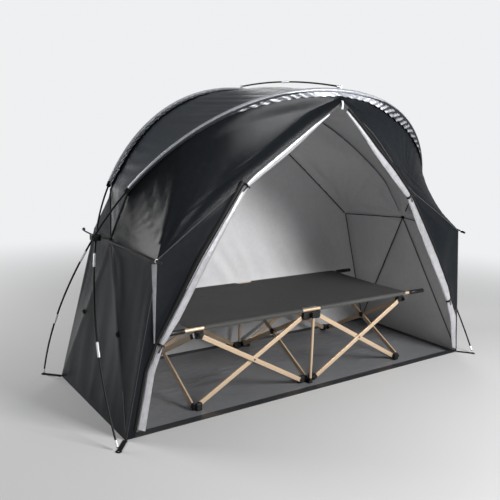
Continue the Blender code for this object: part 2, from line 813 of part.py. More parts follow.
def mid_foot(name, out):
    """Foot under the middle: two cheeks on a base, with the pins of two side legs and one cross leg."""
    y, z = out * railY, footPivotHeight
    profile = [(-0.060, footBase), (0.060, footBase), (0.060, 0.040), (0.052, 0.044), (0.020, 0.044),
               (0.0135, 0.038), (0.0135, 0.0088), (-0.0135, 0.0088), (-0.0135, 0.038), (-0.020, 0.044),
               (-0.052, 0.044), (-0.060, 0.040)]
    bm = bmesh.new()
    add_prism(bm, [Vector((bedX + a, y - out * 0.014, b)) for a, b in profile], Vector((0, out * 0.0145, 0)))
    made = finish(name, bm, "plastic")
    pins = [pin_y(bedX + side * midPivotOffset, y, z, out, legOut) for side in (-1, 1)]
    pins.append(pin_x(bedX, y, z, 1, -0.0160, 0.0160, False))
    pins.append(block((bedX - 0.0118, y - out * 0.003, footBase + 0.0003),
                      (bedX + 0.0118, y + out * 0.029, 0.0085),
                      0.0))
    pins.append(block((bedX - 0.0125, y + out * 0.0155, footBase + 0.0001),
                      (bedX + 0.0125, y + out * 0.0330, 0.0180)))
    return combine(made, pins, 'UNION')


def mid_top(name, out):
    """Joint under the rail at the middle, the same upside down, with the lug that holds the post."""
    y, z = out * railY, topPivotHeight
    profile = [(-0.060, railUnder), (0.060, railUnder), (0.060, z - 0.012), (0.052, z - 0.018),
               (0.020, z - 0.018), (0.0135, z - 0.012), (0.0135, z + 0.0136), (-0.0135, z + 0.0136),
               (-0.0135, z - 0.012), (-0.020, z - 0.018), (-0.052, z - 0.018), (-0.060, z - 0.012)]
    bm = bmesh.new()
    add_prism(bm, [Vector((bedX + a, y + out * 0.014, b)) for a, b in profile], Vector((0, -out * 0.0145, 0)))
    made = finish(name, bm, "plastic")
    pins = [pin_y(bedX + side * midPivotOffset, y, z, -out, legOut) for side in (-1, 1)]
    pins.append(pin_x(bedX, y, z, 1, -0.0160, 0.0160, False))
    pins.append(block((bedX - 0.056, y - out * 0.0130, z + 0.0139),
                      (bedX + 0.056, y + out * 0.004, railUnder - 0.0001),
                      0.0))
    pins.append(block((bedX - 0.0125, y + out * 0.0140, z - 0.010),
                      (bedX + 0.0125, y + out * 0.0330, railUnder - 0.001)))
    return combine(made, pins, 'UNION')


def end_foot(name, out, side):
    """Foot at an end: a cheek outside the side leg, with a pin out to the cross leg."""
    y, z = out * railY, footPivotHeight
    x = bedX + side * columnSpacing
    pivot = x - side * endPivotInset
    bm = bmesh.new()
    add_box(bm, (pivot - side * 0.017, y - out * 0.0003, footBase),
            (x - side * 0.002, y + out * 0.0200, 0.044), 0.004)
    made = finish(name, bm, "plastic")
    reach = 0.0110 if out < 0 else 0.0230
    arm = block((x - side * 0.0064, y - out * 0.0045, z - 0.006),
                (x - side * 0.0021, y + out * 0.004, z + 0.006), 0.001)
    return combine(made, [pin_y(pivot, y, z, -out, legOut), arm, pin_x(x, y, z, side, -0.005, reach)],
                   'UNION')


def end_top(name, out, side):
    """Joint at an end: a cheek inside the side leg, with the saddle that the rail rests on."""
    y, z = out * railY, topPivotHeight
    x = bedX + side * columnSpacing
    pivot = x - side * endPivotInset
    bm = bmesh.new()
    add_box(bm, (pivot - side * 0.017, y - out * 0.0200, z - 0.020),
            (x - side * 0.002, y + out * 0.0003, z + 0.0170),
            0.004)
    made = finish(name, bm, "plastic")
    reach = 0.0230 if out < 0 else 0.0110
    arm = block((x - side * 0.0064, y - out * 0.004, z - 0.006),
                (x - side * 0.0021, y + out * 0.0045, z + 0.006), 0.001)
    saddle = block((pivot - side * 0.019, y - out * 0.0180, z + 0.0136),
                   (x + side * 0.004, y + out * 0.0130, railUnder),
                   0.002)
    return combine(made, [pin_y(pivot, y, z, out, legOut), arm, pin_x(x, y, z, side, -0.005, reach), saddle],
                   'UNION')


def cross_pair(word, x, firstStep, secondStep, holder):
    """Two legs crossing in a plane across the bed; the first rises from the front foot."""
    across = Vector((1, 0, 0))
    up = stand(word + "_cross_up", (x, -railY, footPivotHeight), holder)
    firstX, secondX = x + firstStep, x + secondStep
    direction = 1 if secondX > firstX else -1
    start, end = Vector((firstX, -railY, footPivotHeight)), Vector((firstX, railY, topPivotHeight))
    rivet = (Vector((firstX, 0.0, middleZ)), 0.003 * direction, 0.0170 * direction)
    hang(leg(word + "_cross_leg_a", start, end, across, [start, end], rivet), up)
    down = stand(word + "_cross_down", (x, 0.0, middleZ), up)
    start, end = Vector((secondX, -railY, topPivotHeight)), Vector((secondX, railY, footPivotHeight))
    hang(leg(word + "_cross_leg_b", start, end, across, [start, end, Vector((secondX, 0.0, middleZ))]), down)
    return up, down


def side_frame(out, holder):
    """Both scissors of one long side with their joints, hung on the middle foot of that side."""
    word = faces[out]
    y = out * railY
    outer, inner = y + out * planeStep, y - out * planeStep
    along = Vector((0, 1, 0))
    topHolder = None
    for side in (1, -1):
        tag = word + "_" + tags[side]
        near = bedX + side * midPivotOffset
        far = bedX + side * (columnSpacing - endPivotInset)
        middle = (near + far) / 2
        rising = stand(tag + "_rising", (near, y, footPivotHeight), holder)
        start, end = Vector((near, outer, footPivotHeight)), Vector((far, outer, topPivotHeight))
        rivet = (Vector((middle, outer, middleZ)), -out * 0.003, -out * 0.0170)
        hang(leg(tag + "_outer_leg", start, end, along, [start, end], rivet), rising)
        falling = stand(tag + "_falling", (middle, y, middleZ), rising)
        start, end = Vector((near, inner, topPivotHeight)), Vector((far, inner, footPivotHeight))
        hang(leg(tag + "_inner_leg", start, end, along, [start, end, Vector((middle, inner, middleZ))]),
             falling)
        topEnd = stand(tag + "_top_stand", (far, y, topPivotHeight), rising)
        hang(end_top(tag + "_top_joint", out, side), topEnd)
        footEnd = stand(tag + "_foot_stand", (far, y, footPivotHeight), falling)
        hang(end_foot(tag + "_foot", out, side), footEnd)
        if out < 0:
            cross_pair(tags[side], bedX + side * columnSpacing, side * 0.0055, side * 0.0175, footEnd)
        if side > 0:
            topHolder = stand(word + "_top_stand", (near, y, topPivotHeight), falling)
            hang(mid_top(word + "_middle_top_joint", out), topHolder)
    # rail with its end sleeves, and the post that drops to the foot
    stops = [(railHalfLength, 0.0125), (0.800, 0.0125), (0.7995, railRadius)]
    stops = [(-x, r) for x, r in stops] + stops[::-1]
    bm = bmesh.new()
    add_sweep(bm, [Vector((bedX + x, y, railHeight)) for x, r in stops], [r for x, r in stops], sides=16,
              phase=0.0)
    hang(finish(word + "_rail", bm, "tube"), topHolder)
    bm = bmesh.new()
    post = y + out * 0.0240
    add_sweep(bm, [Vector((bedX, post, 0.0184)), Vector((bedX, post, topPivotHeight - 0.0104))], 0.0085,
              sides=12)
    hang(finish(word + "_post", bm, "tube"), topHolder)
    return topHolder


bedStand = stand("bed_stand", (bedX, -railY, footPivotHeight))
hang(mid_foot("front_middle_foot", -1), bedStand)
midUp, midDown = cross_pair("middle", bedX, -0.0060, 0.0060, bedStand)
rearStand = stand("rear_stand", (bedX, railY, footPivotHeight), midDown)
hang(mid_foot("rear_middle_foot", 1), rearStand)
frontTop = side_frame(-1, bedStand)
side_frame(1, rearStand)

# bed cloth: a sheet over the rails with a hem round each, open at the joints
clothUnder = railHeight + railRadius + 0.0006
hemOut = railRadius + 0.0036
outline = [(-hemHalfLength, -railY), (-midCutHalf, -railY), (-midCutHalf + 0.006, -railY + 0.022),
           (midCutHalf - 0.006, -railY + 0.022), (midCutHalf, -railY), (hemHalfLength, -railY)]
outline += [(-a, -b) for a, b in outline]
bm = bmesh.new()
add_prism(bm, [Vector((bedX + a, b, clothUnder)) for a, b in outline], Vector((0, 0, 0.003)))
cloth = finish("bed_cloth", bm, "bed")
hems = []
for out in (-1, 1):
    for low, high in ((-hemHalfLength + 0.047, -midCutHalf - 0.014),
                      (midCutHalf + 0.014, hemHalfLength - 0.047)):
        arc = []
        for radius, turns in ((hemOut - 0.0001, range(9)), (railRadius + 0.0007, range(8, -1, -1))):
            for k in turns:
                turn = math.radians(98 - 250 * k / 8)
                arc.append(Vector((bedX + low, out * railY + out * radius * math.cos(turn),
                                   railHeight + radius * math.sin(turn))))
        hems.append(helper(lambda bm: add_prism(bm, arc, Vector((high - low, 0, 0)))))
combine(cloth, hems, 'UNION')
hang(cloth, frontTop)

solids = [o for o in bpy.data.objects if o.type == 'MESH']
for piece in solids:
    if any(word in piece.name for word in ("pole", "sleeve", "rail", "post", "roll")):
        piece.data.shade_smooth()
        piece.data.set_sharp_from_angle(angle=math.radians(40))
print("pieces", len(solids), "hub height", round(hubHeight, 4))
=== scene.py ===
import json
import math

import bmesh
import bpy
from mathutils import Matrix, Vector, noise


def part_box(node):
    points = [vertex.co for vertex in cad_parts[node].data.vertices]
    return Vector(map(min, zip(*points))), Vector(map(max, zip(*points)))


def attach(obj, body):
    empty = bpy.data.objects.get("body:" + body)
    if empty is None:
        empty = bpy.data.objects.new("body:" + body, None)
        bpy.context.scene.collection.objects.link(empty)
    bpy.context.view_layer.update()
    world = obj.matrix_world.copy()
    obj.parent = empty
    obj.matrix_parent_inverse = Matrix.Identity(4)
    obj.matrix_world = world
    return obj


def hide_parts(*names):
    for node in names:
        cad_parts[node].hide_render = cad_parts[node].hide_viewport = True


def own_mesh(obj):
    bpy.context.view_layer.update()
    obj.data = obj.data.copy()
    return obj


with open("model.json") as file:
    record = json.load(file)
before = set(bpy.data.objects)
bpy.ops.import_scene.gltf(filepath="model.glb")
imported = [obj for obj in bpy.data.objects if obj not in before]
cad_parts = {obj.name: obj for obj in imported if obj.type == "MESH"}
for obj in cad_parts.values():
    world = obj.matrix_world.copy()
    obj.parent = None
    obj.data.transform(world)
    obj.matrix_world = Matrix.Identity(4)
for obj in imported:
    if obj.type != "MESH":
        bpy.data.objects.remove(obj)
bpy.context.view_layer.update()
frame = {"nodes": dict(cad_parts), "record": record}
scene = bpy.context.scene
print("frame loaded with", len(frame["nodes"]), "nodes")

# the camera stands where the photograph was taken from
cameraView = {"place": (-2.2344, -2.8699, 1.3741), "yaw": 35.11, "pitch": -10.53, "roll": 1.88, "lens": 44.8}


def makeCamera(view):
    yaw, pitch, roll = (math.radians(view[k]) for k in ("yaw", "pitch", "roll"))
    ahead = Vector((math.sin(yaw) * math.cos(pitch), math.cos(yaw) * math.cos(pitch), math.sin(pitch)))
    right = Vector((math.cos(yaw), -math.sin(yaw), 0))
    up = right.cross(ahead)
    across = right * math.cos(roll) + up * math.sin(roll)
    above = up * math.cos(roll) - right * math.sin(roll)
    data = bpy.data.cameras.new("photoCamera")
    data.lens = view["lens"]
    data.sensor_width = 36
    camera = bpy.data.objects.new("photoCamera", data)
    scene.collection.objects.link(camera)
    turn = Matrix((across, above, -ahead)).transposed().to_4x4()
    camera.matrix_world = Matrix.Translation(view["place"]) @ turn
    scene.camera = camera


makeCamera(cameraView)
scene.view_settings.view_transform = 'Standard'


# shader maths as plain expressions
class Wire:
    def __init__(self, look, socket):
        self.look = look
        self.socket = socket

    def maths(self, operation, *values):
        return self.look.add('ShaderNodeMath', {"operation": operation}, dict(enumerate(values)))

    def __add__(self, other):
        return self.maths('ADD', self, other)

    def __sub__(self, other):
        return self.maths('SUBTRACT', self, other)

    def __rsub__(self, other):
        return self.maths('SUBTRACT', other, self)

    def __mul__(self, other):
        return self.maths('MULTIPLY', self, other)

    def __truediv__(self, other):
        return self.maths('DIVIDE', self, other)

    def __pow__(self, other):
        return self.maths('POWER', self, other)

    __radd__ = __add__
    __rmul__ = __mul__


class Look:
    # one material and the few kinds of nodes that it is made of
    def __init__(self, name, **fixed):
        self.material = bpy.data.materials.new(name)
        self.material.use_nodes = True
        self.nodes = self.material.node_tree.nodes
        self.links = self.material.node_tree.links
        self.shader = self.nodes["Principled BSDF"]
        self.places = self.add('ShaderNodeTexCoord', {}, {}, "Object")
        self.threads = self.add('ShaderNodeTexCoord', {}, {}, "UV")
        for key, value in fixed.items():
            self.shader.inputs[key].default_value = value

    def add(self, kind, settings, values, output=0):
        node = self.nodes.new(kind)
        for key, value in settings.items():
            if key == "stops":
                ramp = node.color_ramp
                while len(ramp.elements) < len(value):
                    ramp.elements.new(0.5)
                for element, (spot, shade) in zip(ramp.elements, value):
                    element.position = spot
                    element.color = (shade, shade, shade, 1)
            else:
                setattr(node, key, value)
        for key, value in values.items():
            self.join(node, key, value)
        return Wire(self, node.outputs[output])

    def join(self, node, key, value):
        if isinstance(value, Wire):
            self.links.new(value.socket, node.inputs[key])
        elif isinstance(value, tuple) and len(value) == 3 and node.inputs[key].type == 'RGBA':
            node.inputs[key].default_value = (*value, 1)
        else:
            node.inputs[key].default_value = value

    def give(self, values):
        for key, value in values.items():
            self.join(self.shader, key, value)

    def noise(self, scale, detail=3.0, rough=0.5, stretch=None):
        where = self.places
        if stretch is not None:
            where = self.add('ShaderNodeMapping', {}, {"Vector": where, "Scale": stretch})
        return self.add('ShaderNodeTexNoise', {}, {"Vector": where, "Scale": scale, "Detail": detail,
                                                  "Roughness": rough})

    def ramp(self, share, *stops):
        return self.add('ShaderNodeValToRGB', {"stops": stops}, {0: share})

    def mix(self, share, first, second):
        return self.add('ShaderNodeMix', {"data_type": 'RGBA'}, {0: share, 6: first, 7: second}, 2)

    def bands(self, pitch, direction):
        return self.add('ShaderNodeTexWave', {"wave_type": 'BANDS', "bands_direction": direction},
                        {"Vector": self.threads, "Scale": 0.314 / pitch, "Distortion": 0.0})

    def bump(self, height, distance, strength, before=None):
        values = {"Height": height, "Distance": distance, "Strength": strength}
        if before is not None:
            values["Normal"] = before
        return self.add('ShaderNodeBump', {}, values)


# finishes: each cloth gives what differs from plain cloth
plainCloth = {"weave": 0.0010, "depth": 0.00010, "shine": 0.5, "metal": 0.0, "sheen": 0.0}
cloths = {
    "outerCloth": {"light": (0.0110, 0.0130, 0.0155), "dark": (0.0068, 0.0080, 0.0098), "rough": (0.21, 0.29),
                   "crease": 0.0016, "shine": 0.12},
    # the roof's cloth is the outer cloth made lighter and bluer: painted sky light on the top of the tent
    "roofCloth": {"light": (0.024, 0.031, 0.040), "dark": (0.016, 0.021, 0.028), "rough": (0.30, 0.40),
                  "crease": 0.0018, "shine": 0.16},
    "liningCloth": {"light": (0.64, 0.64, 0.65), "dark": (0.56, 0.56, 0.57), "rough": (0.42, 0.54),
                    "crease": 0.0035, "metal": 0.05},
    # valley is the dark colour that the sleeves' painted shade goes to
    "silverCloth": {"light": (0.50, 0.51, 0.55), "dark": (0.30, 0.31, 0.34), "rough": (0.26, 0.40),
                    "crease": 0.0080, "metal": 0.35, "valley": (0.022, 0.024, 0.028)},
    "rollCloth": {"light": (0.56, 0.56, 0.58), "dark": (0.34, 0.34, 0.36), "rough": (0.28, 0.44),
                  "crease": 0.0090, "metal": 0.40},
    # light cloth of the corner fold: a painted highlight along the fold
    "hemSilver": {"light": (0.34, 0.35, 0.37), "dark": (0.15, 0.155, 0.165), "rough": (0.28, 0.42),
                  "crease": 0.0060, "metal": 0.20},
    "floorCloth": {"light": (0.180, 0.184, 0.192), "dark": (0.135, 0.138, 0.146), "rough": (0.30, 0.44),
                   "crease": 0.0050, "weave": 0.0012, "depth": 0.00012},
    "bedCloth": {"light": (0.0165, 0.0165, 0.0155), "dark": (0.0120, 0.0120, 0.0112), "rough": (0.72, 0.86),
                 "crease": 0.0012, "weave": 0.0016, "depth": 0.00030, "shine": 0.25, "sheen": 0.06},
    # the hem's lighter colour is a painted highlight along the hem over the rail
    "hemCloth": {"light": (0.064, 0.065, 0.061), "dark": (0.042, 0.043, 0.040), "rough": (0.50, 0.66),
                 "crease": 0.0016, "weave": 0.0016, "depth": 0.00030, "shine": 0.4, "sheen": 0.06},
}
grain = {"broadWear": 1.7, "fineWear": 38.0, "gloss": 9.0, "folds": 5.0, "creases": 17.0,
         "standing": (1, 1, 0.35)}


def makeCloth(name, values):
    values = {**plainCloth, **values}
    look = Look(name, **{"Metallic": values["metal"], "Specular IOR Level": values["shine"],
                         "Sheen Weight": values["sheen"]})
    worn = look.noise(grain["broadWear"]) * 0.6 + look.noise(grain["fineWear"], 4.0, 0.6) * 0.4
    colour = look.mix(look.ramp(worn, (0.35, 0.0), (0.65, 1.0)), values["dark"], values["light"])
    if "valley" in values:
        # painted shade and highlight: the dark attribute on the sleeves draws the colour to the valley colour
        # in the gathers' valleys and on the tubes' shaded side
        depth = look.add('ShaderNodeAttribute', {"attribute_name": "dark"}, {}, "Fac")
        colour = look.mix(look.ramp(depth, (0.10, 0.0), (0.90, 1.0)), colour, values["valley"])
    low, high = values["rough"]
    look.give({"Base Color": colour, "Roughness": look.noise(grain["gloss"]) * (high - low) + low})
    weave = look.bands(values["weave"], 'X') + look.bands(values["weave"], 'Y')
    threads = look.bump(weave, values["depth"], 0.6)
    crease = look.noise(grain["folds"], 5.0, 0.55)
    crease = crease + look.noise(grain["creases"], 3.0, stretch=grain["standing"]) * 0.35
    look.give({"Normal": look.bump(crease, values["crease"], 0.8, threads)})
    return look.material


webbing = {"light": (0.0120, 0.0120, 0.0125), "dark": (0.0045, 0.0045, 0.0050), "rough": 0.85, "shine": 0.12,
           "rib": 0.0022, "depth": 0.0004, "lint": 120.0}


def makeWebbing(name, values):
    look = Look(name, **{"Roughness": values["rough"], "Specular IOR Level": values["shine"]})
    tone = look.noise(values["lint"], 2.0)
    ribs = look.bands(values["rib"], 'X') + tone * 0.4
    look.give({"Base Color": look.mix(tone, values["dark"], values["light"]),
               "Normal": look.bump(ribs, values["depth"], 0.8)})
    return look.material


plastics = {
    "polePlastic": {"light": (0.010, 0.010, 0.011), "dark": (0.005, 0.005, 0.006), "rough": (0.38, 0.52),
                    "shine": 0.16},
    "blackPlastic": {"light": (0.016, 0.016, 0.017), "dark": (0.007, 0.007, 0.008), "rough": (0.30, 0.48),
                     "shine": 0.35},
    "seamTape": {"light": (0.080, 0.080, 0.082), "dark": (0.046, 0.046, 0.048), "rough": (0.50, 0.66),
                 "shine": 0.3},
    "floorBand": {"light": (0.034, 0.036, 0.040), "dark": (0.020, 0.021, 0.024), "rough": (0.40, 0.55),
                  "shine": 0.4},
    "paleTab": {"light": (0.80, 0.80, 0.81), "dark": (0.60, 0.60, 0.61), "rough": (0.50, 0.70), "shine": 0.5},
}
surface = {"scuffs": 45.0, "pores": 900.0, "poreDepth": 0.00012, "drawn": 60.0, "drawnDepth": 0.00006,
           "marks": 22.0}


def makePlastic(name, values):
    look = Look(name, **{"Specular IOR Level": values["shine"]})
    scuffs = look.noise(surface["scuffs"], 4.0, 0.65)
    low, high = values["rough"]
    tone = look.ramp(scuffs, (0.45, 0.0), (0.75, 1.0))
    look.give({"Base Color": look.mix(tone, values["dark"], values["light"]),
               "Roughness": scuffs * (high - low) + low,
               "Normal": look.bump(look.noise(surface["pores"], 2.0), surface["poreDepth"], 0.5)})
    return look.material


# drawn gives the way that the metal's fine lines run
metals = {
    "rivetMetal": {"light": (0.16, 0.15, 0.14), "dark": (0.07, 0.065, 0.06), "rough": (0.30, 0.45),
                   "metal": 0.9, "drawn": (1, 1, 1)},
    "ferruleMetal": {"light": (0.90, 0.90, 0.91), "dark": (0.78, 0.78, 0.80), "rough": (0.30, 0.42),
                     "metal": 0.25, "drawn": (8, 8, 0.5)},
    "tubeMetal": {"light": (0.66, 0.50, 0.345), "dark": (0.54, 0.405, 0.275), "rough": (0.30, 0.44),
                  "metal": 0.3, "drawn": (0.6, 8, 8)},
}


def makeMetal(name, values):
    look = Look(name, Metallic=values["metal"])
    drawn = look.noise(surface["drawn"], 3.0, stretch=values["drawn"])
    marks = look.noise(surface["marks"], 4.0, 0.6)
    low, high = values["rough"]
    look.give({"Base Color": look.mix(drawn * 0.6 + marks * 0.4, values["dark"], values["light"]),
               "Roughness": marks * (high - low) + low,
               "Normal": look.bump(drawn, surface["drawnDepth"], 0.4)})
    return look.material


finishes = {}
for make, kinds in ((makeCloth, cloths), (makePlastic, plastics), (makeMetal, metals)):
    for name, values in kinds.items():
        finishes[name] = make(name, values)
finishes["webbing"] = makeWebbing("webbing", webbing)
print("finishes made:", len(finishes))

# the three ways, the tent's two ends and its two long walls
xWay, yWay, zWay = Vector((1, 0, 0)), Vector((0, 1, 0)), Vector((0, 0, 1))
bothEnds = (("left", -1), ("right", 1))
bothWalls = (("front", -1), ("rear", 1))


# hard pieces: a primitive at its size, shaped in edit mode, then put in its place
def choose(*pieces):
    # leaves only these pieces selected, the first one active
    if bpy.context.mode != 'OBJECT':
        bpy.ops.object.mode_set(mode='OBJECT')
    bpy.ops.object.select_all(action='DESELECT')
    for piece in pieces:
        piece.select_set(True)
    if pieces:
        bpy.context.view_layer.objects.active = pieces[0]


def pick(piece, kind, wanted):
    # picks faces by centre and normal, or edges by their two ends, and leaves the piece in edit mode
    bpy.context.view_layer.objects.active = piece
    bpy.ops.object.mode_set(mode='EDIT')
    bpy.ops.mesh.select_mode(type=kind)
    bpy.ops.mesh.select_all(action='DESELECT')
    bpy.ops.object.mode_set(mode='OBJECT')
    mesh = piece.data
    if kind == 'FACE':
        for face in mesh.polygons:
            face.select = wanted(face.center, face.normal)
    else:
        for edge in mesh.edges:
            a, b = (mesh.vertices[v].co for v in edge.vertices)
            edge.select = wanted(a, b)
    bpy.ops.object.mode_set(mode='EDIT')


def dress(piece, name, look, angle=35):
    choose(piece)
    piece.name = name
    piece.data.name = name
    piece.data.materials.clear()
    piece.data.materials.append(finishes[look])
    piece.data.shade_smooth()
    piece.data.set_sharp_from_angle(angle=math.radians(angle))
    return piece


def fixPlace():
    bpy.ops.object.transform_apply(location=True, rotation=True, scale=True)


def putAt(piece, origin, axis, roll=zWay):
    # lays the piece's Z axis along axis, its place kept in its mesh
    z = axis.normalized()
    y = roll - z * roll.dot(z)
    y = y.normalized() if y.length > 1e-6 else z.orthogonal().normalized()
    turn = Matrix((y.cross(z), y, z)).transposed().to_4x4()
    piece.matrix_world = Matrix.Translation(origin) @ turn
    choose(piece)
    fixPlace()
    return piece


def copied(piece):
    other = piece.copy()
    other.data = piece.data.copy()
    scene.collection.objects.link(other)
    return other


def copiesAt(piece, *spots):
    # puts a copy at each spot, given as its origin, axis and roll, and clears the first one away
    copies = [putAt(copied(piece), *spot) for spot in spots]
    bpy.data.objects.remove(piece)
    return copies


def bothWays(stops):
    # the same stops on both sides of the middle
    return [(-z, radius) for z, radius in reversed(stops)] + stops


def turned(name, stops, look, sides=20):
    # a turned piece along Z: a short cylinder whose end is drawn out and resized from stop to stop
    choose()
    (start, first), (end, second) = stops[:2]
    bpy.ops.mesh.primitive_cone_add(vertices=sides, radius1=first, radius2=second, depth=end - start,
                                    location=(0, 0, (start + end) / 2))
    piece = bpy.context.active_object
    fixPlace()
    pick(piece, 'FACE', lambda centre, normal: normal.z > 0.9 and centre.z > end - 1e-6)
    reach, size = end, second
    for z, radius in stops[2:]:
        bpy.ops.mesh.extrude_region_move(TRANSFORM_OT_translate={"value": (0, 0, z - reach)})
        bpy.ops.transform.resize(value=(radius / size, radius / size, 1), center_override=(0, 0, z))
        reach, size = z, radius
    return dress(piece, name, look)


def bentRod(points, radius):
    # a glass rod bent along its points
    data = bpy.data.curves.new("rod", 'CURVE')
    data.dimensions = '3D'
    spline = data.splines.new('POLY')
    spline.points.add(len(points) - 1)
    for spot, p in zip(spline.points, points):
        spot.co = (*p, 1)
    data.bevel_depth = radius
    data.bevel_resolution = 3
    data.use_fill_caps = True
    rod = bpy.data.objects.new("rod", data)
    scene.collection.objects.link(rod)
    choose(rod)
    bpy.ops.object.convert(target='MESH')
    return dress(bpy.context.active_object, "rod", "polePlastic")


def collarRing(radius, thick):
    choose()
    bpy.ops.mesh.primitive_torus_add(major_radius=radius, minor_radius=thick,
                                     major_segments=28, minor_segments=8)
    return dress(bpy.context.active_object, "ring", "ferruleMetal", 60)


def joined(name, parts):
    choose(*parts)
    if len(parts) > 1:
        bpy.ops.object.join()
    parts[0].name = name
    parts[0].data.name = name
    return parts[0]


def stand(piece, body, slot, *nodes):
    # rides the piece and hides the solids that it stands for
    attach(piece, body)
    if nodes:
        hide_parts(*nodes)
    return piece


# cloth and straps are laid out point by point
def place(name, points, faces, looks, uv, which=None, smooth=60, turn=False):
    # which gives each face the number of its look, and turn makes the faces look outward
    mesh = bpy.data.meshes.new(name)
    mesh.from_pydata([tuple(p) for p in points], [], faces)
    for look in looks:
        mesh.materials.append(finishes[look])
    if which is not None:
        mesh.polygons.foreach_set("material_index", which)
    layer = mesh.uv_layers.new(name="cloth")
    for loop in mesh.loops:
        layer.data[loop.index].uv = uv[loop.vertex_index]
    if turn:
        work = bmesh.new()
        work.from_mesh(mesh)
        bmesh.ops.recalc_face_normals(work, faces=work.faces)
        work.to_mesh(mesh)
        work.free()
    mesh.shade_smooth()
    mesh.set_sharp_from_angle(angle=math.radians(smooth))
    made = bpy.data.objects.new(name, mesh)
    scene.collection.objects.link(made)
    return made


def ripple(x, y, z):
    # soft waves of cloth, from -1 to 1
    return noise.noise(Vector((x, y, z)))


def lineLengths(points):
    lengths = [0.0]
    for a, b in zip(points, points[1:]):
        lengths.append(lengths[-1] + (b - a).length)
    return lengths


def atLengths(points, wanted):
    # the places at these lengths along the line
    lengths = lineLengths(points)
    out, j = [], 0
    for want in wanted:
        while j < len(points) - 2 and lengths[j + 1] < want:
            j += 1
        out.append(points[j].lerp(points[j + 1], (want - lengths[j]) / (lengths[j + 1] - lengths[j])))
    return out


def evenly(points, count):
    total = lineLengths(points)[-1]
    return atLengths(points, [total * i / count for i in range(count + 1)])


def headingAt(points, i):
    return (points[min(i + 1, len(points) - 1)] - points[max(i - 1, 0)]).normalized()


def gridShell(high, wide):
    # faces of a two-sided sheet: high rows of wide points, then the same rows again for the back
    count = high * wide
    faces, which = [], []
    for i in range(high - 1):
        for k in range(wide - 1):
            a, b, c, d = i * wide + k, i * wide + k + 1, (i + 1) * wide + k + 1, (i + 1) * wide + k
            faces += [(a, d, c, b), (a + count, b + count, c + count, d + count)]
            which += [0, 1]
    ring = list(range(wide)) + [(i + 1) * wide - 1 for i in range(1, high)]
    ring += [(high - 1) * wide + k for k in range(wide - 2, -1, -1)]
    ring += [i * wide for i in range(high - 2, 0, -1)]
    for a, b in zip(ring, ring[1:] + ring[:1]):
        faces.append((a, b, b + count, a + count))
        which.append(0)
    return faces, which


def rowNormals(rows):
    normals = []
    for i, row in enumerate(rows):
        line = []
        for k in range(len(row)):
            along = rows[min(i + 1, len(rows) - 1)][k] - rows[max(i - 1, 0)][k]
            across = row[min(k + 1, len(row) - 1)] - row[max(k - 1, 0)]
            facing = along.cross(across)
            line.append(facing.normalized() if facing.length > 1e-12 else Vector())
        normals.append(line)
    # a point where its row shrinks to nothing takes its neighbour's
    for line in normals:
        for k in [*range(len(line)), *reversed(range(len(line)))]:
            if line[k].length < 0.5:
                line[k] = line[k - 1] if k else line[1]
    return normals


def ease(d, reach):
    # rises smoothly from 0 to 1 over this reach
    x = min(max(d / reach, 0.0), 1.0)
    return x * x * (3 - 2 * x)


def valueAt(stops, share):
    # the value at this share, straight between the stops
    for (a, first), (b, second) in zip(stops, stops[1:]):
        if share <= b:
            return first + (second - first) * (share - a) / (b - a)
    return stops[-1][1]


# how far a panel's outer side lies inside its solid, and how thick a panel is
panel = {"seat": 0.0002, "thick": 0.0009}


def clothPanel(name, rows, shape, looks, thick=panel["thick"], heart=(0, 0, 0.6)):
    # a sewn panel, its outer side away from its heart. shape says how far a point stands out, from the
    # point, its share of the rows, its share of its row and its distance to the nearest edge
    high, wide = len(rows), len(rows[0])
    normals = rowNormals(rows)
    heart = Vector(heart)
    facing = sum(n.dot((p - heart).normalized())
                 for row, line in zip(rows, normals) for p, n in zip(row, line))
    sign = 1 if facing > 0 else -1
    outer, inner, uv = [], [], []
    for i, row in enumerate(rows):
        run = lineLengths(row)
        for k, p in enumerate(row):
            edge = min(run[k], run[-1] - run[k], (p - rows[0][k]).length, (p - rows[-1][k]).length)
            n = normals[i][k] * sign
            out = shape(p, i / (high - 1), k / (wide - 1), edge) - panel["seat"]
            outer.append(p + n * out)
            inner.append(p + n * (out - thick))
            uv.append((run[k], (row[wide // 2] - rows[0][wide // 2]).length))
    faces, which = gridShell(high, wide)
    if sign < 0:
        faces = [tuple(reversed(f)) for f in faces]
    return place(name, outer + inner, faces, looks, uv + uv, which, 50)


def strap(name, points, halfWide, halfThick, look, lead, sides=8, wave=0.0):
    # flat webbing along points. lead is the way that its broad side faces, and it and halfWide
    # are one value or one for each point
    count = len(points)
    leads = lead if isinstance(lead, list) else [lead] * count
    widths = halfWide if isinstance(halfWide, list) else [halfWide] * count
    verts, uv = [], []
    for i, (p, run) in enumerate(zip(points, lineLengths(points))):
        ahead = headingAt(points, i)
        side = leads[i].cross(ahead).normalized()
        up = ahead.cross(side)
        lift = up * (wave * ripple(run * 22, 0, len(name)))
        for k in range(sides):
            turn = 2 * math.pi * (k + 0.5) / sides
            wide = math.copysign(abs(math.cos(turn)) ** 0.4, math.cos(turn)) * widths[i]
            verts.append(p + lift + side * wide + up * (halfThick * math.sin(turn)))
            uv.append((run, wide))
    faces = []
    for i in range(count - 1):
        for k in range(sides):
            n = (k + 1) % sides
            faces.append((i * sides + k, i * sides + n, (i + 1) * sides + n, (i + 1) * sides + k))
    faces += [tuple(range(sides - 1, -1, -1)), tuple(range((count - 1) * sides, count * sides))]
    return place(name, verts, faces, [look], uv, None, 50, True)


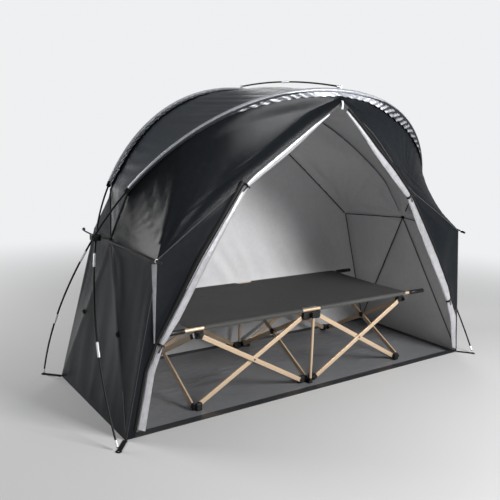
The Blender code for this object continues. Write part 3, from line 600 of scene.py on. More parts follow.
# tent shape, the same sizes as the frame's; long is along the tent, deep across it
tent = {"groundLong": 1.178, "groundDeep": 0.440, "frontEave": 1.039, "rearEave": 0.965, "eaveHigh": 0.8225,
        "wallLean": 0.034, "apexHigh": 1.552, "gableBow": 0.014, "floorTop": 0.0033, "tieLong": 1.0576,
        "tieHigh": 0.848, "footLong": 1.248, "footDeep": 0.518, "hubHigh": 0.858, "hubLong": 1.140,
        "frontTopHigh": 1.607, "frontTopDeep": 0.441, "rearTopHigh": 1.6455, "rearTopDeep": 0.455,
        "sideStep": 0.0055, "hubTangent": 106.5, "footTangent": 86.2, "handleFoot": 0.3488,
        "handleHubDown": 0.3505, "handleHubUp": 0.3968, "frontHandleTop": 0.710, "rearHandleTop": 0.600,
        "sleeveStart": 0.225, "seamDrop": 0.0116, "seamSteps": 14, "lowSteps": 60, "upSteps": 160}

# the upper right door tie pulls the front gable seam down: how far, and where and over what share of it
tiePull = {"drop": 0.082, "at": 0.46, "spread": 0.30}
hubHigh = tent["hubHigh"]
hubSlant = math.hypot(hubHigh, tent["footDeep"])


def hoopTop(lean):
    # lean is 1 for the front hoop, whose feet stand at the back, and -1 for the rear one
    word = "front" if lean > 0 else "rear"
    return tent[word + "TopHigh"], tent[word + "TopDeep"], tent[word + "HandleTop"]


def topSlant(lean):
    # how far up its slanting plane the hoop's top lies
    high, deep = hoopTop(lean)[:2]
    return hubSlant + math.hypot(high - hubHigh, deep)


def bezier(a, b, c, d, steps):
    return [a * (1 - t) ** 3 + b * (3 * t * (1 - t) ** 2) + c * (3 * t * t * (1 - t)) + d * t ** 3
            for t in (i / steps for i in range(steps + 1))]


def polar(degrees, length):
    return Vector((math.cos(math.radians(degrees)), math.sin(math.radians(degrees)))) * length


def hoopPlane(q, side, lean):
    # q is across and up the hoop's slanting plane
    if q.y <= hubSlant:
        share = q.y / hubSlant
        return Vector((side * q.x, lean * tent["footDeep"] * (1 - share), hubHigh * share))
    high, deep = hoopTop(lean)[:2]
    share = (q.y - hubSlant) / (topSlant(lean) - hubSlant)
    return Vector((side * q.x, -lean * deep * share, hubHigh + (high - hubHigh) * share))


def hoopHalf(lean):
    # from the foot to the crossing, and from there to the top
    wider = tent["sideStep"] if lean > 0 else -tent["sideStep"]
    foot, hub = Vector((tent["footLong"] + wider, 0.0)), Vector((tent["hubLong"] + wider, hubSlant))
    top = Vector((0.0, topSlant(lean)))
    return (bezier(foot, foot + polar(tent["footTangent"], tent["handleFoot"]),
                   hub - polar(tent["hubTangent"], tent["handleHubDown"]), hub, tent["lowSteps"]),
            bezier(hub, hub + polar(tent["hubTangent"], tent["handleHubUp"]),
                   top + Vector((hoopTop(lean)[2], 0.0)), top, tent["upSteps"]))


def mirrored(points):
    return [Vector((-p.x, p.y, p.z)) for p in points]


def hoopCurve(lean, start=0.0):
    low, up = hoopHalf(lean)
    half = low[:-1] + up if start == 0.0 else up[int(len(up) * start):]
    right = [hoopPlane(q, 1, lean) for q in half]
    return mirrored(right[:-1]) + right[::-1]


def hoopNormal(lean):
    high, deep = hoopTop(lean)[:2]
    return Vector((0, high - hubHigh, lean * deep)).normalized()


def wallPoint(x, z, face):
    return Vector((x, face * (tent["groundDeep"] + tent["wallLean"] * min(z, tent["eaveHigh"])), z))


def eaveLong(face):
    return tent["frontEave"] if face < 0 else tent["rearEave"]


def groundPoint(side, face):
    long = tent["groundLong"] + (eaveLong(face) - tent["groundLong"]) / tent["eaveHigh"] * tent["floorTop"]
    return wallPoint(side * long, tent["floorTop"], face)


def seamCorner(step, side, face):
    # a point of the gable seam, counted in steps from the eave corner up
    t = step / tent["seamSteps"]
    z = tent["eaveHigh"] + (tent["apexHigh"] - tent["eaveHigh"]) * t + tent["gableBow"] * 4 * t * (1 - t)
    if side > 0 and face < 0:
        z -= tiePull["drop"] * min(t / tiePull["at"], max(0.0, 1 - (t - tiePull["at"]) / tiePull["spread"]))
    return wallPoint(side * eaveLong(face) * (1 - t), z, face)


def tiePoint(side):
    return Vector((side * tent["tieLong"], 0, tent["tieHigh"]))


def halfSeam(side, face):
    # from the strap point over the eave corner up to the apex
    return [tiePoint(side)] + [seamCorner(i, side, face) for i in range(tent["seamSteps"] + 1)]


# rows of a strip as shares of its half seam, the same on both of its edges
strips = {"start": 0.008, "belowEave": 20, "aboveEave": 112}
gableLengths = lineLengths(halfSeam(-1, -1))
eaveShare = gableLengths[1] / gableLengths[-1]
seamShares = [strips["start"] + (eaveShare - strips["start"]) * i / strips["belowEave"]
              for i in range(strips["belowEave"])]
seamShares += [eaveShare + (1 - eaveShare) * i / strips["aboveEave"] for i in range(strips["aboveEave"] + 1)]


def gableSeam(face):
    halves = []
    for side in (-1, 1):
        half = halfSeam(side, face)
        lengths = lineLengths(half)
        corner, rest = lengths[1], lengths[-1] - lengths[1]
        halves.append(atLengths(half, [corner * min(1, s / eaveShare)
                                       + rest * max(0, s - eaveShare) / (1 - eaveShare) for s in seamShares]))
    return halves[0] + halves[1][-2::-1]


def hoopSeam(lean, leftWider=1.0):
    # leftWider above 1 gives the cloth below the left eave corner a longer share of the hoop
    up = hoopHalf(lean)[1]
    flat = []
    for i in range(int(len(up) * tent["sleeveStart"]), len(up) - 1):
        ahead = headingAt(up, i)
        flat.append(up[i] + Vector((-ahead.y, ahead.x)) * tent["seamDrop"])
    flat.append(Vector((0.0, topSlant(lean) - tent["seamDrop"])))
    line = [tiePoint(1)] + [hoopPlane(q, 1, lean) for q in flat]
    total = lineLengths(line)[-1]
    halves = []
    for wider in (leftWider, 1.0):
        above = (1 - eaveShare * wider) / (1 - eaveShare)
        shares = [s * wider if s <= eaveShare else 1 - (1 - s) * above for s in seamShares]
        halves.append(atLengths(line, [total * s for s in shares]))
    return mirrored(halves[0][:-1]) + halves[1][::-1]


def stripRows(edgeA, edgeB, across):
    return [[a.lerp(b, k / across) for k in range(across + 1)] for a, b in zip(edgeA, edgeB)]


def clothArea(rows):
    total = 0.0
    for first, second in zip(rows, rows[1:]):
        for k in range(len(first) - 1):
            total += (first[k + 1] - first[k]).cross(second[k] - first[k]).length / 2
            total += (second[k + 1] - first[k + 1]).cross(second[k + 1] - second[k]).length / 2
    return total


def sewnPanel(name, rows, shape, *rests, look="outerCloth"):
    piece = clothPanel(name + "_cloth", rows, shape, (look, "liningCloth"))
    round(clothArea(rows), 3)
    return stand(piece, "tent", "outer_fabric", name)


# canopies between the hoops and the gable seams: fan and blades are the creases that spread from the eave
# corners, ruffle and pitch the small gathers along the hoop, wider the longer share below the left corner
canopy = {"sag": 0.018, "fan": 0.0034, "fanReach": 0.20, "fanEnd": 1.0, "blades": 15.0, "ruffle": 0.0009,
          "pitch": 0.026, "soft": 0.006, "crease": 0.0015, "creaseAt": 0.16, "creaseWide": 0.14,
          "frontWider": 1.55, "rearWider": 1.3, "across": 50}
hoopLong = 3.2  # about the hoop's length over the roof, which the gathers are counted along
fullTurn = 6.283  # one whole gather


def fanCreases(p, corner, face, side):
    # creases that spread from a corner where the cloth is pulled tight
    along = (seamCorner(tent["seamSteps"], side, face) - corner).normalized()
    across = tiePoint(side) - corner
    across = (across - along * across.dot(along)).normalized()
    away = p - corner
    reach = away.length
    if reach < 1e-4 or reach > canopy["fanEnd"]:
        return 0.0
    angle = math.atan2(away.dot(across), away.dot(along))
    depth = reach / canopy["fanReach"] * math.exp(1 - reach / canopy["fanReach"])
    ridge = ripple(angle * canopy["blades"] / 1.6, reach * 1.5, 3.0 * side + face)
    fine = ripple(angle * canopy["blades"] * 1.3, reach * 2.0, 8.0 * side + face)
    return depth * (ridge + 0.4 * fine)


def canopyShape(face):
    fans = [(side, seamCorner(0, side, face)) for side in (-1, 1)]
    if face < 0:
        fans.append((1, seamCorner(tent["seamSteps"] * tiePull["at"], 1, face)))

    def shape(p, s, t, edge):
        # pulled flat above the left corner, sunken on the right
        full = 0.8 - 0.65 * ease(-p.x - 0.65, 0.25) + 0.6 * ease(p.x - 0.5, 0.4)
        out = -canopy["sag"] * math.sin(math.pi * t) * full
        out += canopy["soft"] * ripple(p.x * 2.2 + 7, p.y * 4, p.z * 2.6)
        for side, corner in fans:
            out += canopy["fan"] * fanCreases(p, corner, face, side)
        # long soft creases beside the gable seam
        beside = math.exp(-((t - canopy["creaseAt"]) / canopy["creaseWide"]) ** 2)
        deep = canopy["crease"] * (3 if face < 0 and p.x > 0 else 1)
        out += deep * beside * ripple(s * 6, t * 30, face * 2.0)
        arc = s * hoopLong
        gather = 0.6 + ripple(arc * 6, face * 3.0, 0.5)
        wave = math.sin(arc / canopy["pitch"] * fullTurn + 2.5 * noise.noise(p * 6))
        ruffle = canopy["ruffle"] * gather * ease(t - 0.70, 0.30) * wave
        return out * ease(edge, 0.10) + ruffle * ease(edge, 0.02)

    return shape


roof = {"crown": 0.024, "crownHalf": 0.42, "sag": 0.016, "soft": 0.006, "fold": 0.0035, "ruffle": 0.0035,
        "pitch": 0.030, "across": 44}


def roofShape(p, s, t, edge):
    # crowned under the ridge pole, sagging down the sides, gathered along both hoops
    crown = math.exp(-(p.x / roof["crownHalf"]) ** 2)
    out = (roof["crown"] * crown - roof["sag"] * (1 - crown)) * math.sin(math.pi * t)
    out += roof["soft"] * noise.noise(p * 3)
    out += roof["fold"] * ripple(p.x * 26, p.y * 2.0, p.z * 14)
    near = ease(abs(t - 0.5) * 2 - 0.74, 0.26)
    wave = math.sin(s * hoopLong / roof["pitch"] * fullTurn + 3 * noise.noise(p * 7))
    return out * ease(edge, 0.08) + roof["ruffle"] * near * wave * ease(edge, 0.02)


frontSeam, rearSeam = hoopSeam(1), hoopSeam(-1)
# the roof panel takes the lighter, bluer roof cloth, which is painted sky light
sewnPanel("roof_panel", stripRows(frontSeam, rearSeam, roof["across"]), roofShape,
          "front_hoop_pole", "rear_hoop_pole", look="roofCloth")
for word, face in bothWalls:
    seam = hoopSeam(-face, canopy[word + "Wider"])
    sewnPanel(word + "_canopy", stripRows(gableSeam(face), seam, canopy["across"]), canopyShape(face),
              word + "_hoop_pole")

# end walls, laid out round the strap point; pull is the creases below the eave corners
endWall = {"sag": 0.012, "fold": 0.0045, "soft": 0.004, "foot": 0.003, "footHigh": 0.16, "pull": 0.0035,
           "pullHigh": 0.45, "pullWide": 0.09, "pullPitch": 0.016, "edgeSteps": 48, "steps": 56}


def endWallRows(side):
    ring = [seamCorner(0, side, -1), groundPoint(side, -1), groundPoint(side, 1), seamCorner(0, side, 1)]
    edge, steps = [], endWall["steps"]
    for a, b in zip(ring, ring[1:]):
        edge += [a.lerp(b, i / endWall["edgeSteps"]) for i in range(endWall["edgeSteps"])]
    edge.append(ring[-1])
    return [[tiePoint(side).lerp(p, 0.01 + 0.99 * k / steps) for k in range(steps + 1)] for p in edge]


def endWallShape(side):
    corners = [seamCorner(0, side, face) for face in (-1, 1)]

    def shape(p, s, t, edge):
        third = (s * 3) % 1.0
        seam = ease(min(third, 1 - third) * t, 0.05)
        out = -endWall["sag"] * math.sin(math.pi * third) * math.sin(math.pi * min(t, 1)) * seam
        out += endWall["fold"] * ripple(p.y * 9 + side, p.z * 0.8, side * 3.0) * ease(t, 0.3)
        out += endWall["soft"] * ripple(p.y * 4, p.z * 3.0, side * 6.0)
        # short creases stand up from the ground
        low = math.exp(-p.z / endWall["footHigh"])
        out += endWall["foot"] * ripple(p.y * 22, p.z * 3.0, side * 9.0) * low
        for corner in corners:
            away = p - corner
            fall = math.exp(-abs(away.z) / endWall["pullHigh"]) * math.exp(-abs(away.y) / endWall["pullWide"])
            out += endWall["pull"] * math.sin(abs(away.y) / endWall["pullPitch"] + 1.0) * fall
        return out * ease(edge, 0.06)

    return shape


for word, side in bothEnds:
    sewnPanel(word + "_end_wall", endWallRows(side), endWallShape(side), word + "_hub", "floor_edge_band")

# back wall in columns from floor to gable
backWall = {"sag": 0.014, "crease": 0.012, "creaseHigh": 0.52, "creaseAt": 0.1, "creaseTall": 0.20,
            "creaseLong": 0.5, "soft": 0.008, "fine": 0.0030, "pull": 0.016, "pullReach": 0.45,
            "columns": 160, "rows": 72}


def gableAt(x):
    t = 1 - abs(x) / tent["rearEave"]
    return tent["eaveHigh"] + (tent["apexHigh"] - tent["eaveHigh"]) * t + tent["gableBow"] * 4 * t * (1 - t)


def backRows():
    columns, foot, end = [], groundPoint(-1, 1), groundPoint(1, 1)
    for i in range(backWall["columns"] + 1):
        share = i / backWall["columns"]
        x = tent["rearEave"] * (2 * share - 1)
        low, top = foot.lerp(end, share), wallPoint(x, gableAt(x), 1)
        # the column stays on the folded wall
        line = [low.lerp(top, k / backWall["rows"]) for k in range(backWall["rows"] + 1)]
        columns.append([wallPoint(q.x, q.z, 1) for q in line])
    return columns


def backShape(p, s, t, edge):
    out = -backWall["sag"] * math.sin(math.pi * t) * math.sin(math.pi * s)
    run, slope = p.z * 0.55 + p.x * 0.83, p.z * 0.83 - p.x * 0.55
    near = math.exp(-((p.z - backWall["creaseHigh"]) / backWall["creaseTall"]) ** 2)
    near *= 0.4 + 0.6 * math.exp(-((p.x - backWall["creaseAt"]) / backWall["creaseLong"]) ** 2)
    out += backWall["crease"] * near * ripple(run * 15, slope * 1.6, 1.0)
    out += backWall["soft"] * ripple(p.x * 2.0, p.z * 2.0, 9.0)
    out += backWall["fine"] * ripple(p.x * 9, p.z * 3.0, 4.0)
    # tension folds from the lower corners
    for side in (-1, 1):
        across = abs(p.x - groundPoint(side, 1).x)
        reach = math.hypot(across, p.z)
        fold = ripple(math.atan2(p.z, across + 1e-6) * 7, reach * 1.2, 6.0 + side)
        out += backWall["pull"] * math.exp(-reach / backWall["pullReach"]) * ease(reach, 0.25) * fold
    return out * ease(edge, 0.08)


sewnPanel("back_wall", backRows(), backShape, "rear_hoop_pole", "floor_edge_band")

# front walls beside the door. Each point of a roll: across and up on the wall, and the roll's half width
door = {"left": [(-0.085, 1.484, 0.0060), (-0.330, 1.309, 0.0145), (-0.577, 1.138, 0.0120),
                 (-0.793, 0.799, 0.0215), (-0.939, 0.538, 0.0235), (-1.011, 0.428, 0.0165),
                 (-1.056, 0.303, 0.0220), (-1.100, 0.030, 0.0235)],
        "right": [(0.030, 1.507, 0.0060), (0.132, 1.423, 0.0120), (0.260, 1.306, 0.0185),
                  (0.411, 1.181, 0.0215), (0.552, 1.055, 0.0160), (0.677, 0.876, 0.0265),
                  (0.841, 0.652, 0.0300), (0.978, 0.455, 0.0280), (1.024, 0.376, 0.0200),
                  (1.091, 0.247, 0.0290), (1.142, 0.030, 0.0180)],
        "leftTies": (2, 5), "rightTies": (4, 8), "leftStep": 6, "rightStep": 13, "rightFoot": 0.300,
        "sag": 0.008, "fold": 0.010, "rows": 110, "across": 30}
wallOut = Vector((0, -1, -tent["wallLean"])).normalized()
tieOut = 0.0046  # the wall stands this much further from the roll beside a tie
apart = 0.0002  # borders that meet at a tip end this far apart


def doorEdge(word, beside=0.0004, tied=True):
    # the line that runs this far beside the roll, on the side of its wall
    path, sign = door[word], 1 if word == "left" else -1
    flat = [Vector(p[:2]) for p in path]
    out = []
    for i, p in enumerate(flat):
        a = (p - flat[i - 1]).normalized() if i else (flat[1] - p).normalized()
        b = (flat[i + 1] - p).normalized() if i < len(flat) - 1 else a
        n1, n2 = Vector((a.y, -a.x)), Vector((b.y, -b.x))
        miter = (n1 + n2).normalized()
        half = path[i][2] + (tieOut if tied and i in door[word + "Ties"] else 0.0)
        out.append(p + miter * (sign * (half + beside) / miter.dot(n1)))
    return out


def atHeight(a, b, z):
    share = (a.y - z) / (a.y - b.y)
    return Vector((a.x + (b.x - a.x) * share, z))


def onWall(flat):
    return [wallPoint(p.x, p.y, -1) for p in flat]


def frontShape(p, s, t, edge):
    out = -door["sag"] * math.sin(math.pi * t) * math.sin(math.pi * s)
    out += door["fold"] * ripple(p.x * 8, p.z * 2.4, 11.0)
    return out * ease(edge, 0.05)


def seamFlat(steps, side):
    corners = [seamCorner(i, side, -1) for i in steps]
    return [Vector((c.x, c.z)) for c in corners]


def frontWall(word, side, inner, outer, *rests):
    # both borders start at the foot and end where they meet
    outer = onWall(outer)
    outer[-1] = outer[-1] + Vector((side * apart, 0, 0))
    a, b = evenly(onWall(inner), door["rows"]), evenly(outer, door["rows"])
    sewnPanel(f"front_wall_{word}", stripRows(a, b, door["across"]), frontShape, *rests)


# the left one stands on the ground, the right one ends above it
edge, ground = doorEdge("left"), groundPoint(-1, -1)
frontWall("left", -1,
          [atHeight(edge[-2], edge[-1], tent["floorTop"])] + edge[-2:2:-1] + seamFlat([door["leftStep"]], -1),
          [Vector((ground.x, ground.z))] + seamFlat(range(door["leftStep"] + 1), -1),
          "floor_edge_band", "left_brow_pole")
edge, foot = doorEdge("right"), door["rightFoot"]
footLong = tent["groundLong"] + (tent["frontEave"] - tent["groundLong"]) * foot / tent["eaveHigh"]
frontWall("right", 1,
          [atHeight(edge[8], edge[9], foot)] + edge[8:0:-1] + seamFlat([door["rightStep"]], 1),
          [Vector((footLong, foot))] + seamFlat(range(door["rightStep"] + 1), 1),
          "right_brow_pole")
print("panels sewn")

# seams: narrow tape sewn over every joint of the cloth, seen as dark lines inside
seams = {"halfWide": 0.0040, "halfThick": 0.0016, "hemHalf": 0.0026, "hemWave": 0.0012, "inside": 0.0050,
         "outside": 0.0016, "webbingHalf": {"front": 0.0070, "rear": 0.0026}, "step": 0.016}
tentHeart = Vector((0, 0, 0.7))


def seamTape(name, points, outward, look="seamTape", half=seams["halfWide"], wave=0.0):
    line = evenly(points, max(8, int(lineLengths(points)[-1] / seams["step"])))
    piece = strap(name, line, half, seams["halfThick"], look, outward, wave=wave)
    return stand(piece, "tent", "webbing")


def shifted(points, reach):
    # towards the middle of the tent, or away from it
    return [p + (tentHeart - p).normalized() * reach for p in points]


def bareSeam(lean, side):
    # the seam from the strap point up to where the sleeve begins
    up = hoopHalf(lean)[1]
    end = hoopPlane(up[int(len(up) * tent["sleeveStart"])], side, lean)
    return [p for p in hoopSeam(lean) if p.x * side > 0 and p.z < end.z - 0.004]


def wallSeams(word, face):
    out = Vector((0, face, 0.55)).normalized()
    seam = gableSeam(face)
    seamTape(word + "_gable_tape", [p + out * 0.0006 for p in seam[20:-20]], out, half=seams["hemHalf"],
             wave=seams["hemWave"])
    seamTape(word + "_gable_inner_tape", shifted(seam[21:-21], seams["inside"] + 0.003), out)
    seamTape(word + "_hoop_tape", shifted(hoopSeam(-face)[2:-2], seams["inside"] + 0.002),
             Vector((0, face * 0.3, 1)).normalized())
    for tag, side in bothEnds:
        eave, ground, tie = seamCorner(0, side, face), groundPoint(side, face), tiePoint(side)
        for where, start, end, outward in (("corner", eave, ground, (side, face, 0)),
                                           ("wall", tie.lerp(ground, 0.01), ground, (side, 0, 0.2)),
                                           ("eave", tie.lerp(eave, 0.02), eave, (side, 0, 0.8))):
            seamTape(f"{word}_{tag}_{where}_tape", shifted(evenly([start, end], 40), seams["inside"]),
                     Vector(outward).normalized())
        seamTape(f"{word}_{tag}_seam_webbing", shifted(bareSeam(-face, side), -seams["outside"]),
                 Vector((side, face * 0.4, 0.6)).normalized(), "webbing", seams["webbingHalf"][word])


# webbing patches: round ones sandwich the point where five seams meet, square ones with a loop sit half way
# down the seams from there to the ground
patches = {"round": [(0.0003, 0.0125), (0.0009, 0.0105)], "outer": -0.0022, "inner": 0.0072, "half": 0.013,
           "halfWide": 0.0115, "halfThick": 0.0014, "standOff": 0.0030, "loopHalf": (0.0045, 0.0010),
           "loop": [(0.010, 0.001), (0.004, 0.007), (-0.004, 0.007), (-0.010, 0.001)]}


def seamPatches(word, side):
    for where in ("outer", "inner"):
        patch = turned("patch", bothWays(patches["round"]), "webbing", 20)
        putAt(patch, shifted([tiePoint(side)], patches[where])[0], Vector((side, 0, 0.55)))
        stand(joined(f"{word}_{where}_seam_patch", [patch]), "tent", "webbing")
    for wall, face in bothWalls:
        tie, ground = tiePoint(side), groundPoint(side, face)
        down, lead = (ground - tie).normalized(), Vector((side, 0, 0.14)).normalized()
        spot = tie.lerp(ground, 0.50) + lead * patches["standOff"]
        ends = [spot - down * patches["half"], spot + down * patches["half"]]
        square = strap("patch", ends, patches["halfWide"], patches["halfThick"], "webbing", lead)
        line = [spot + down * along + lead * high for along, high in patches["loop"]]
        loop = strap("loop", evenly(line, 12), *patches["loopHalf"], "webbing", lead)
        stand(joined(f"{word}_{wall}_wall_patch", [square, loop]), "tent", "webbing")


for word, face in bothWalls:
    wallSeams(word, face)
for word, side in bothEnds:
    seamPatches(word, side)
print("seams taped")

# rolled-up door halves: the cloth is wound from its free edge, silver side out
roll = {"turns": 2.4, "halfThick": 0.010, "pinch": 0.16, "pinchReach": 0.022, "pullReach": 0.10,
        "bulge": 0.25, "bulgeOut": 0.0025, "cut": 0.030, "along": 190, "round": 76, "shell": 0.0011}


def rollPath(word):
    ties = [Vector(door[word][k]) for k in door[word + "Ties"]]
    points, wide, thick = [], [], []
    for p in evenly([Vector(q) for q in door[word]], roll["along"]):
        near = min((p - c).length for c in ties)
        pinch = 1 - roll["pinch"] * math.exp(-(near / roll["pinchReach"]) ** 2)
        points.append(wallPoint(p.x, p.y, -1) - wallOut * 0.001)
        wide.append(p.z * pinch)
        thick.append(min(roll["halfThick"], p.z * 0.7) * pinch)
    return points, wide, thick


def tieSpots(word):
    return [wallPoint(door[word][k][0], door[word][k][1], -1) for k in door[word + "Ties"]]


def doorRoll(word):
    points, wide, thick = rollPath(word)
    steps, hand = roll["round"], 1 if word == "left" else -1
    lengths, ties = lineLengths(points), tieSpots(word)
    outer, inner, uv = [], [], []
    for i, (p, run) in enumerate(zip(points, lengths)):
        ahead = headingAt(points, i)
        side = wallOut.cross(ahead).normalized()
        up = ahead.cross(side)
        pulled = max(math.exp(-((p - c).length / roll["pullReach"]) ** 2) for c in ties)
        # the left half bulges above its upper tie
        full = ease(run, 0.10) * (1 - ease(run - 0.50, 0.12)) if hand > 0 else 0.0
        half = wide[i] * (1 + roll["bulge"] * full)
        # the lower end is cut slanting and its layers slide apart
        slip = ease(run - lengths[-1] + 0.05, 0.05)
        for k in range(steps + 1):
            share = k / steps
            angle = hand * (2 * math.pi * roll["turns"] * share) + (0.0 if hand > 0 else math.pi)
            x, y = math.cos(angle), math.sin(angle)
            crease = 0.10 * ripple(run * 2.2, x * 1.6, y * 1.6 + hand * 4)
            crease += 0.05 * ripple(run * 16, x * 3, y * 3)
            crease += 0.16 * ripple(run * 1.6, x * 4.2, y * 4.2 + hand * 7)
            crease += 0.22 * pulled * ripple(run * 5, x * 5, y * 5 + 2)
            r = 0.50 + 0.50 * share + crease * share - 0.03
            shift = ahead * (slip * (0.010 * x - roll["cut"] * (1 - share)))
            shift -= side * (roll["bulgeOut"] * full)
            for shell, cut in ((outer, 0.0), (inner, min(roll["shell"], wide[i] * 0.05))):
                shell.append(p + shift + side * ((half * r - cut) * x) + up * ((thick[i] * r - cut) * y))
            uv.append((run, share * 0.30))
    faces, which = gridShell(len(points), steps + 1)
    if hand > 0:
        faces = [tuple(reversed(f)) for f in faces]
    looks = ("rollCloth", "outerCloth")
    piece = place(word + "_door_roll_cloth", outer + inner, faces, looks, uv + uv, which)
    return stand(piece, "tent", "silver_fabric", word + "_door_roll")


# elastic band round the roll, held by a toggle; tail gives the cord's way down and out from the toggle
tieBand = {"clear": 0.0016, "clearUp": 0.0014, "steps": 40, "halfWide": 0.0052, "halfThick": 0.0011,
           "twist": 0.0012, "toggleOut": 0.0054,
           "toggle": [(0.0040, 0.0029), (0.0065, 0.0040), (0.0155, 0.0038), (0.0165, 0.0020)],
           "tail": [(-0.002, 0.0), (0.012, 0.002), (0.024, 0.001), (0.036, -0.001)],
           "tailHalf": (0.0030, 0.0009)}


def doorTie(word, corner, spot):
    points, wide, thick = rollPath(word)
    near = min(range(len(points)), key=lambda i: (points[i] - corner).length)
    middle, ahead = points[near], headingAt(points, near)
    side = wallOut.cross(ahead).normalized()
    w, t, steps = wide[near] + tieBand["clear"], thick[near] + tieBand["clearUp"], tieBand["steps"]
    ring = []
    for i in range(steps + 1):
        turn = 2 * math.pi * i / steps
        ring.append(middle + side * (w * math.cos(turn)) + ahead.cross(side) * (t * math.sin(turn))
                    + ahead * (tieBand["twist"] * math.sin(turn * 2)))
    band = strap("band", ring, tieBand["halfWide"], tieBand["halfThick"], "webbing",
                 [(p - middle).normalized() for p in ring])
    face = middle + wallOut * (thick[near] + tieBand["toggleOut"])
    barrel = putAt(turned("toggle", bothWays(tieBand["toggle"]), "blackPlastic", 16), face, side, wallOut)
    tail = [face + ahead * down + wallOut * out for down, out in tieBand["tail"]]
    cord = strap("loop", evenly(tail, 12), *tieBand["tailHalf"], "webbing", wallOut)
    return stand(joined(f"{word}_{spot}_door_tie_band", [band, barrel, cord]), "tent", "webbing",
                 f"{word}_{spot}_door_tie")


for word, side in bothEnds:
    doorRoll(word)
    for corner, spot in zip(tieSpots(word), ("upper", "lower")):
        doorTie(word, corner, spot)

# black zip on the wall beside each roll; its lists give the tape's width by its share of the way down. On the
# left the tape is widest near the top, where it is also painted shadow of the gap beside the roll.
zips = {"wide": 0.0140, "beside": 0.0005, "high": 0.0016, "teethHigh": 0.0028, "teethHalfWide": 0.0032,
        "tapeThick": 0.0009, "teethThick": 0.0013, "steps": 150, "foot": 0.012,
        "left": [(0, 1.0), (0.35, 0.95), (0.55, 0.70), (0.80, 0.50), (1, 0.55)],
        "right": [(0, 0.9), (0.5, 0.7), (1, 0.5)]}


def zipTape(word, foot):
    # above the left roll's upper tie the roll lies against the gable seam
    skip = 2 if word == "left" else 0
    near, far = (evenly(onWall(doorEdge(word, beside, False))[skip:], zips["steps"])
                 for beside in (zips["beside"], zips["beside"] + 2 * zips["wide"]))
    line, widths = [], []
    for i, (a, b) in enumerate(zip(near, far)):
        share = valueAt(zips[word], i / zips["steps"])
        if a.z > foot:
            line.append(a.lerp(b, share / 2))
            widths.append(zips["wide"] * share)
    low, high = ([p + wallOut * zips[k] for p in line] for k in ("high", "teethHigh"))
    tape = strap("tape", low, widths, zips["tapeThick"], "webbing", wallOut)
    teeth = strap("teeth", high, zips["teethHalfWide"], zips["teethThick"], "blackPlastic", wallOut)
    return stand(joined(word + "_zip_tape", [tape, teeth]), "tent", "webbing")


# a pulled fold from the left eave corner straight down to the roll's lower tie; its light colour is a painted
# highlight along the fold, narrowing downwards
pulledFold = {"topLong": -1.0375, "lean": -0.0015, "below": 0.016, "long": 0.366, "cordOut": 0.0022,
              "cordHalf": (0.0026, 0.0014), "cordWave": 0.0006, "foldOut": 0.0030, "foldThick": 0.0011,
              "foldWave": 0.0016, "gap": 0.003, "wide": 0.0120, "taper": 0.75, "slant": -0.5, "steps": 50}


def cornerFold():
    shares = [i / pulledFold["steps"] for i in range(pulledFold["steps"] + 1)]
    top = Vector((pulledFold["topLong"], tent["eaveHigh"] - pulledFold["below"]))
    spots = onWall([top + Vector((pulledFold["lean"], -pulledFold["long"])) * share for share in shares])
    spine = [p + wallOut * pulledFold["cordOut"] for p in spots]
    cord = strap("edge", spine, *pulledFold["cordHalf"], "webbing", wallOut, wave=pulledFold["cordWave"])
    wide = [pulledFold["wide"] * (1 - pulledFold["taper"] * share) for share in shares]
    slant = (wallOut + xWay * pulledFold["slant"]).normalized()
    line = [p + wallOut * pulledFold["foldOut"] - xWay * (pulledFold["gap"] + w)
            for p, w in zip(spots, wide)]
    fold = strap("fold", line, wide, pulledFold["foldThick"], "hemSilver", slant, wave=pulledFold["foldWave"])
    return stand(joined("left_corner_fold", [cord, fold]), "tent", "webbing")


# the pale pull of the zip, hanging from the apex
zipPull = {"way": [(0, -0.004, 0.004), (-0.001, -0.010, -0.008), (-0.002, -0.011, -0.022),
                   (-0.004, -0.011, -0.038)],
           "across": -0.006, "halfWide": 0.0065, "halfThick": 0.0012}

cornerFold()
zipTape("left", zips["foot"])
zipTape("right", door["rightFoot"])
top = wallPoint(zipPull["across"], tent["apexHigh"], -1)
stand(strap("zip_pull", evenly([top + Vector(way) for way in zipPull["way"]], 14), zipPull["halfWide"],
            zipPull["halfThick"], "paleTab", -yWay), "tent", "webbing")
print("door rolled up")

# sleeves over the hoops: a close tube, and a gathered silver flap sewn to the next cloth.
# Each list gives a value by its share of the hoop, from the left sleeve end to the right one.
# dark says how much of the flap is black, partly painted shade under the sleeve; valley how deep the painted
# shade in the gathers' valleys is; shade how far round the tube its painted highlight on the sky side stops.
sleeves = {"radius": 0.0116, "end": 0.024, "slant": 1.6, "lift": 0.0065, "crinkle": 0.0016, "thick": 0.0008,
           "tubeThick": 0.0009, "steps": 520, "round": 20, "across": 12,
           "front": {"pitch": 0.055,
                     "flap": [(0, 0.006), (0.24, 0.008), (0.32, 0.022), (0.46, 0.026), (0.58, 0.026),
                              (0.68, 0.052), (0.82, 0.050), (0.92, 0.018), (1, 0.006)],
                     "dark": [(0, 1.0), (0.24, 1.0), (0.28, 0.5), (0.40, 0.3), (0.44, 0.0), (0.60, 0.0),
                              (0.66, 0.3), (0.84, 0.45), (0.92, 1.0), (1, 1.0)],
                     "valley": [(0, 0), (0.24, 0), (0.28, 0.8), (0.41, 0.8), (0.45, 0.0), (0.58, 0.0),
                                (0.64, 1.0), (0.88, 1.0), (0.94, 0), (1, 0)],
                     "shade": [(0, 0.50), (0.36, 0.45), (0.44, -0.5), (0.56, -0.5), (0.64, 0.42),
                               (0.86, 0.50), (1, 0.55)]},
           "rear": {"pitch": 0.048,
                    "flap": [(0, 0.018), (0.05, 0.036), (0.45, 0.040), (0.70, 0.034), (0.95, 0.030),
                             (1, 0.010)],
                    "dark": [(0, 0.62), (0.3, 0.55), (1, 0.55)], "valley": [(0, 0.50), (1, 0.50)],
                    "shade": [(0, -0.2), (1, -0.2)]}}


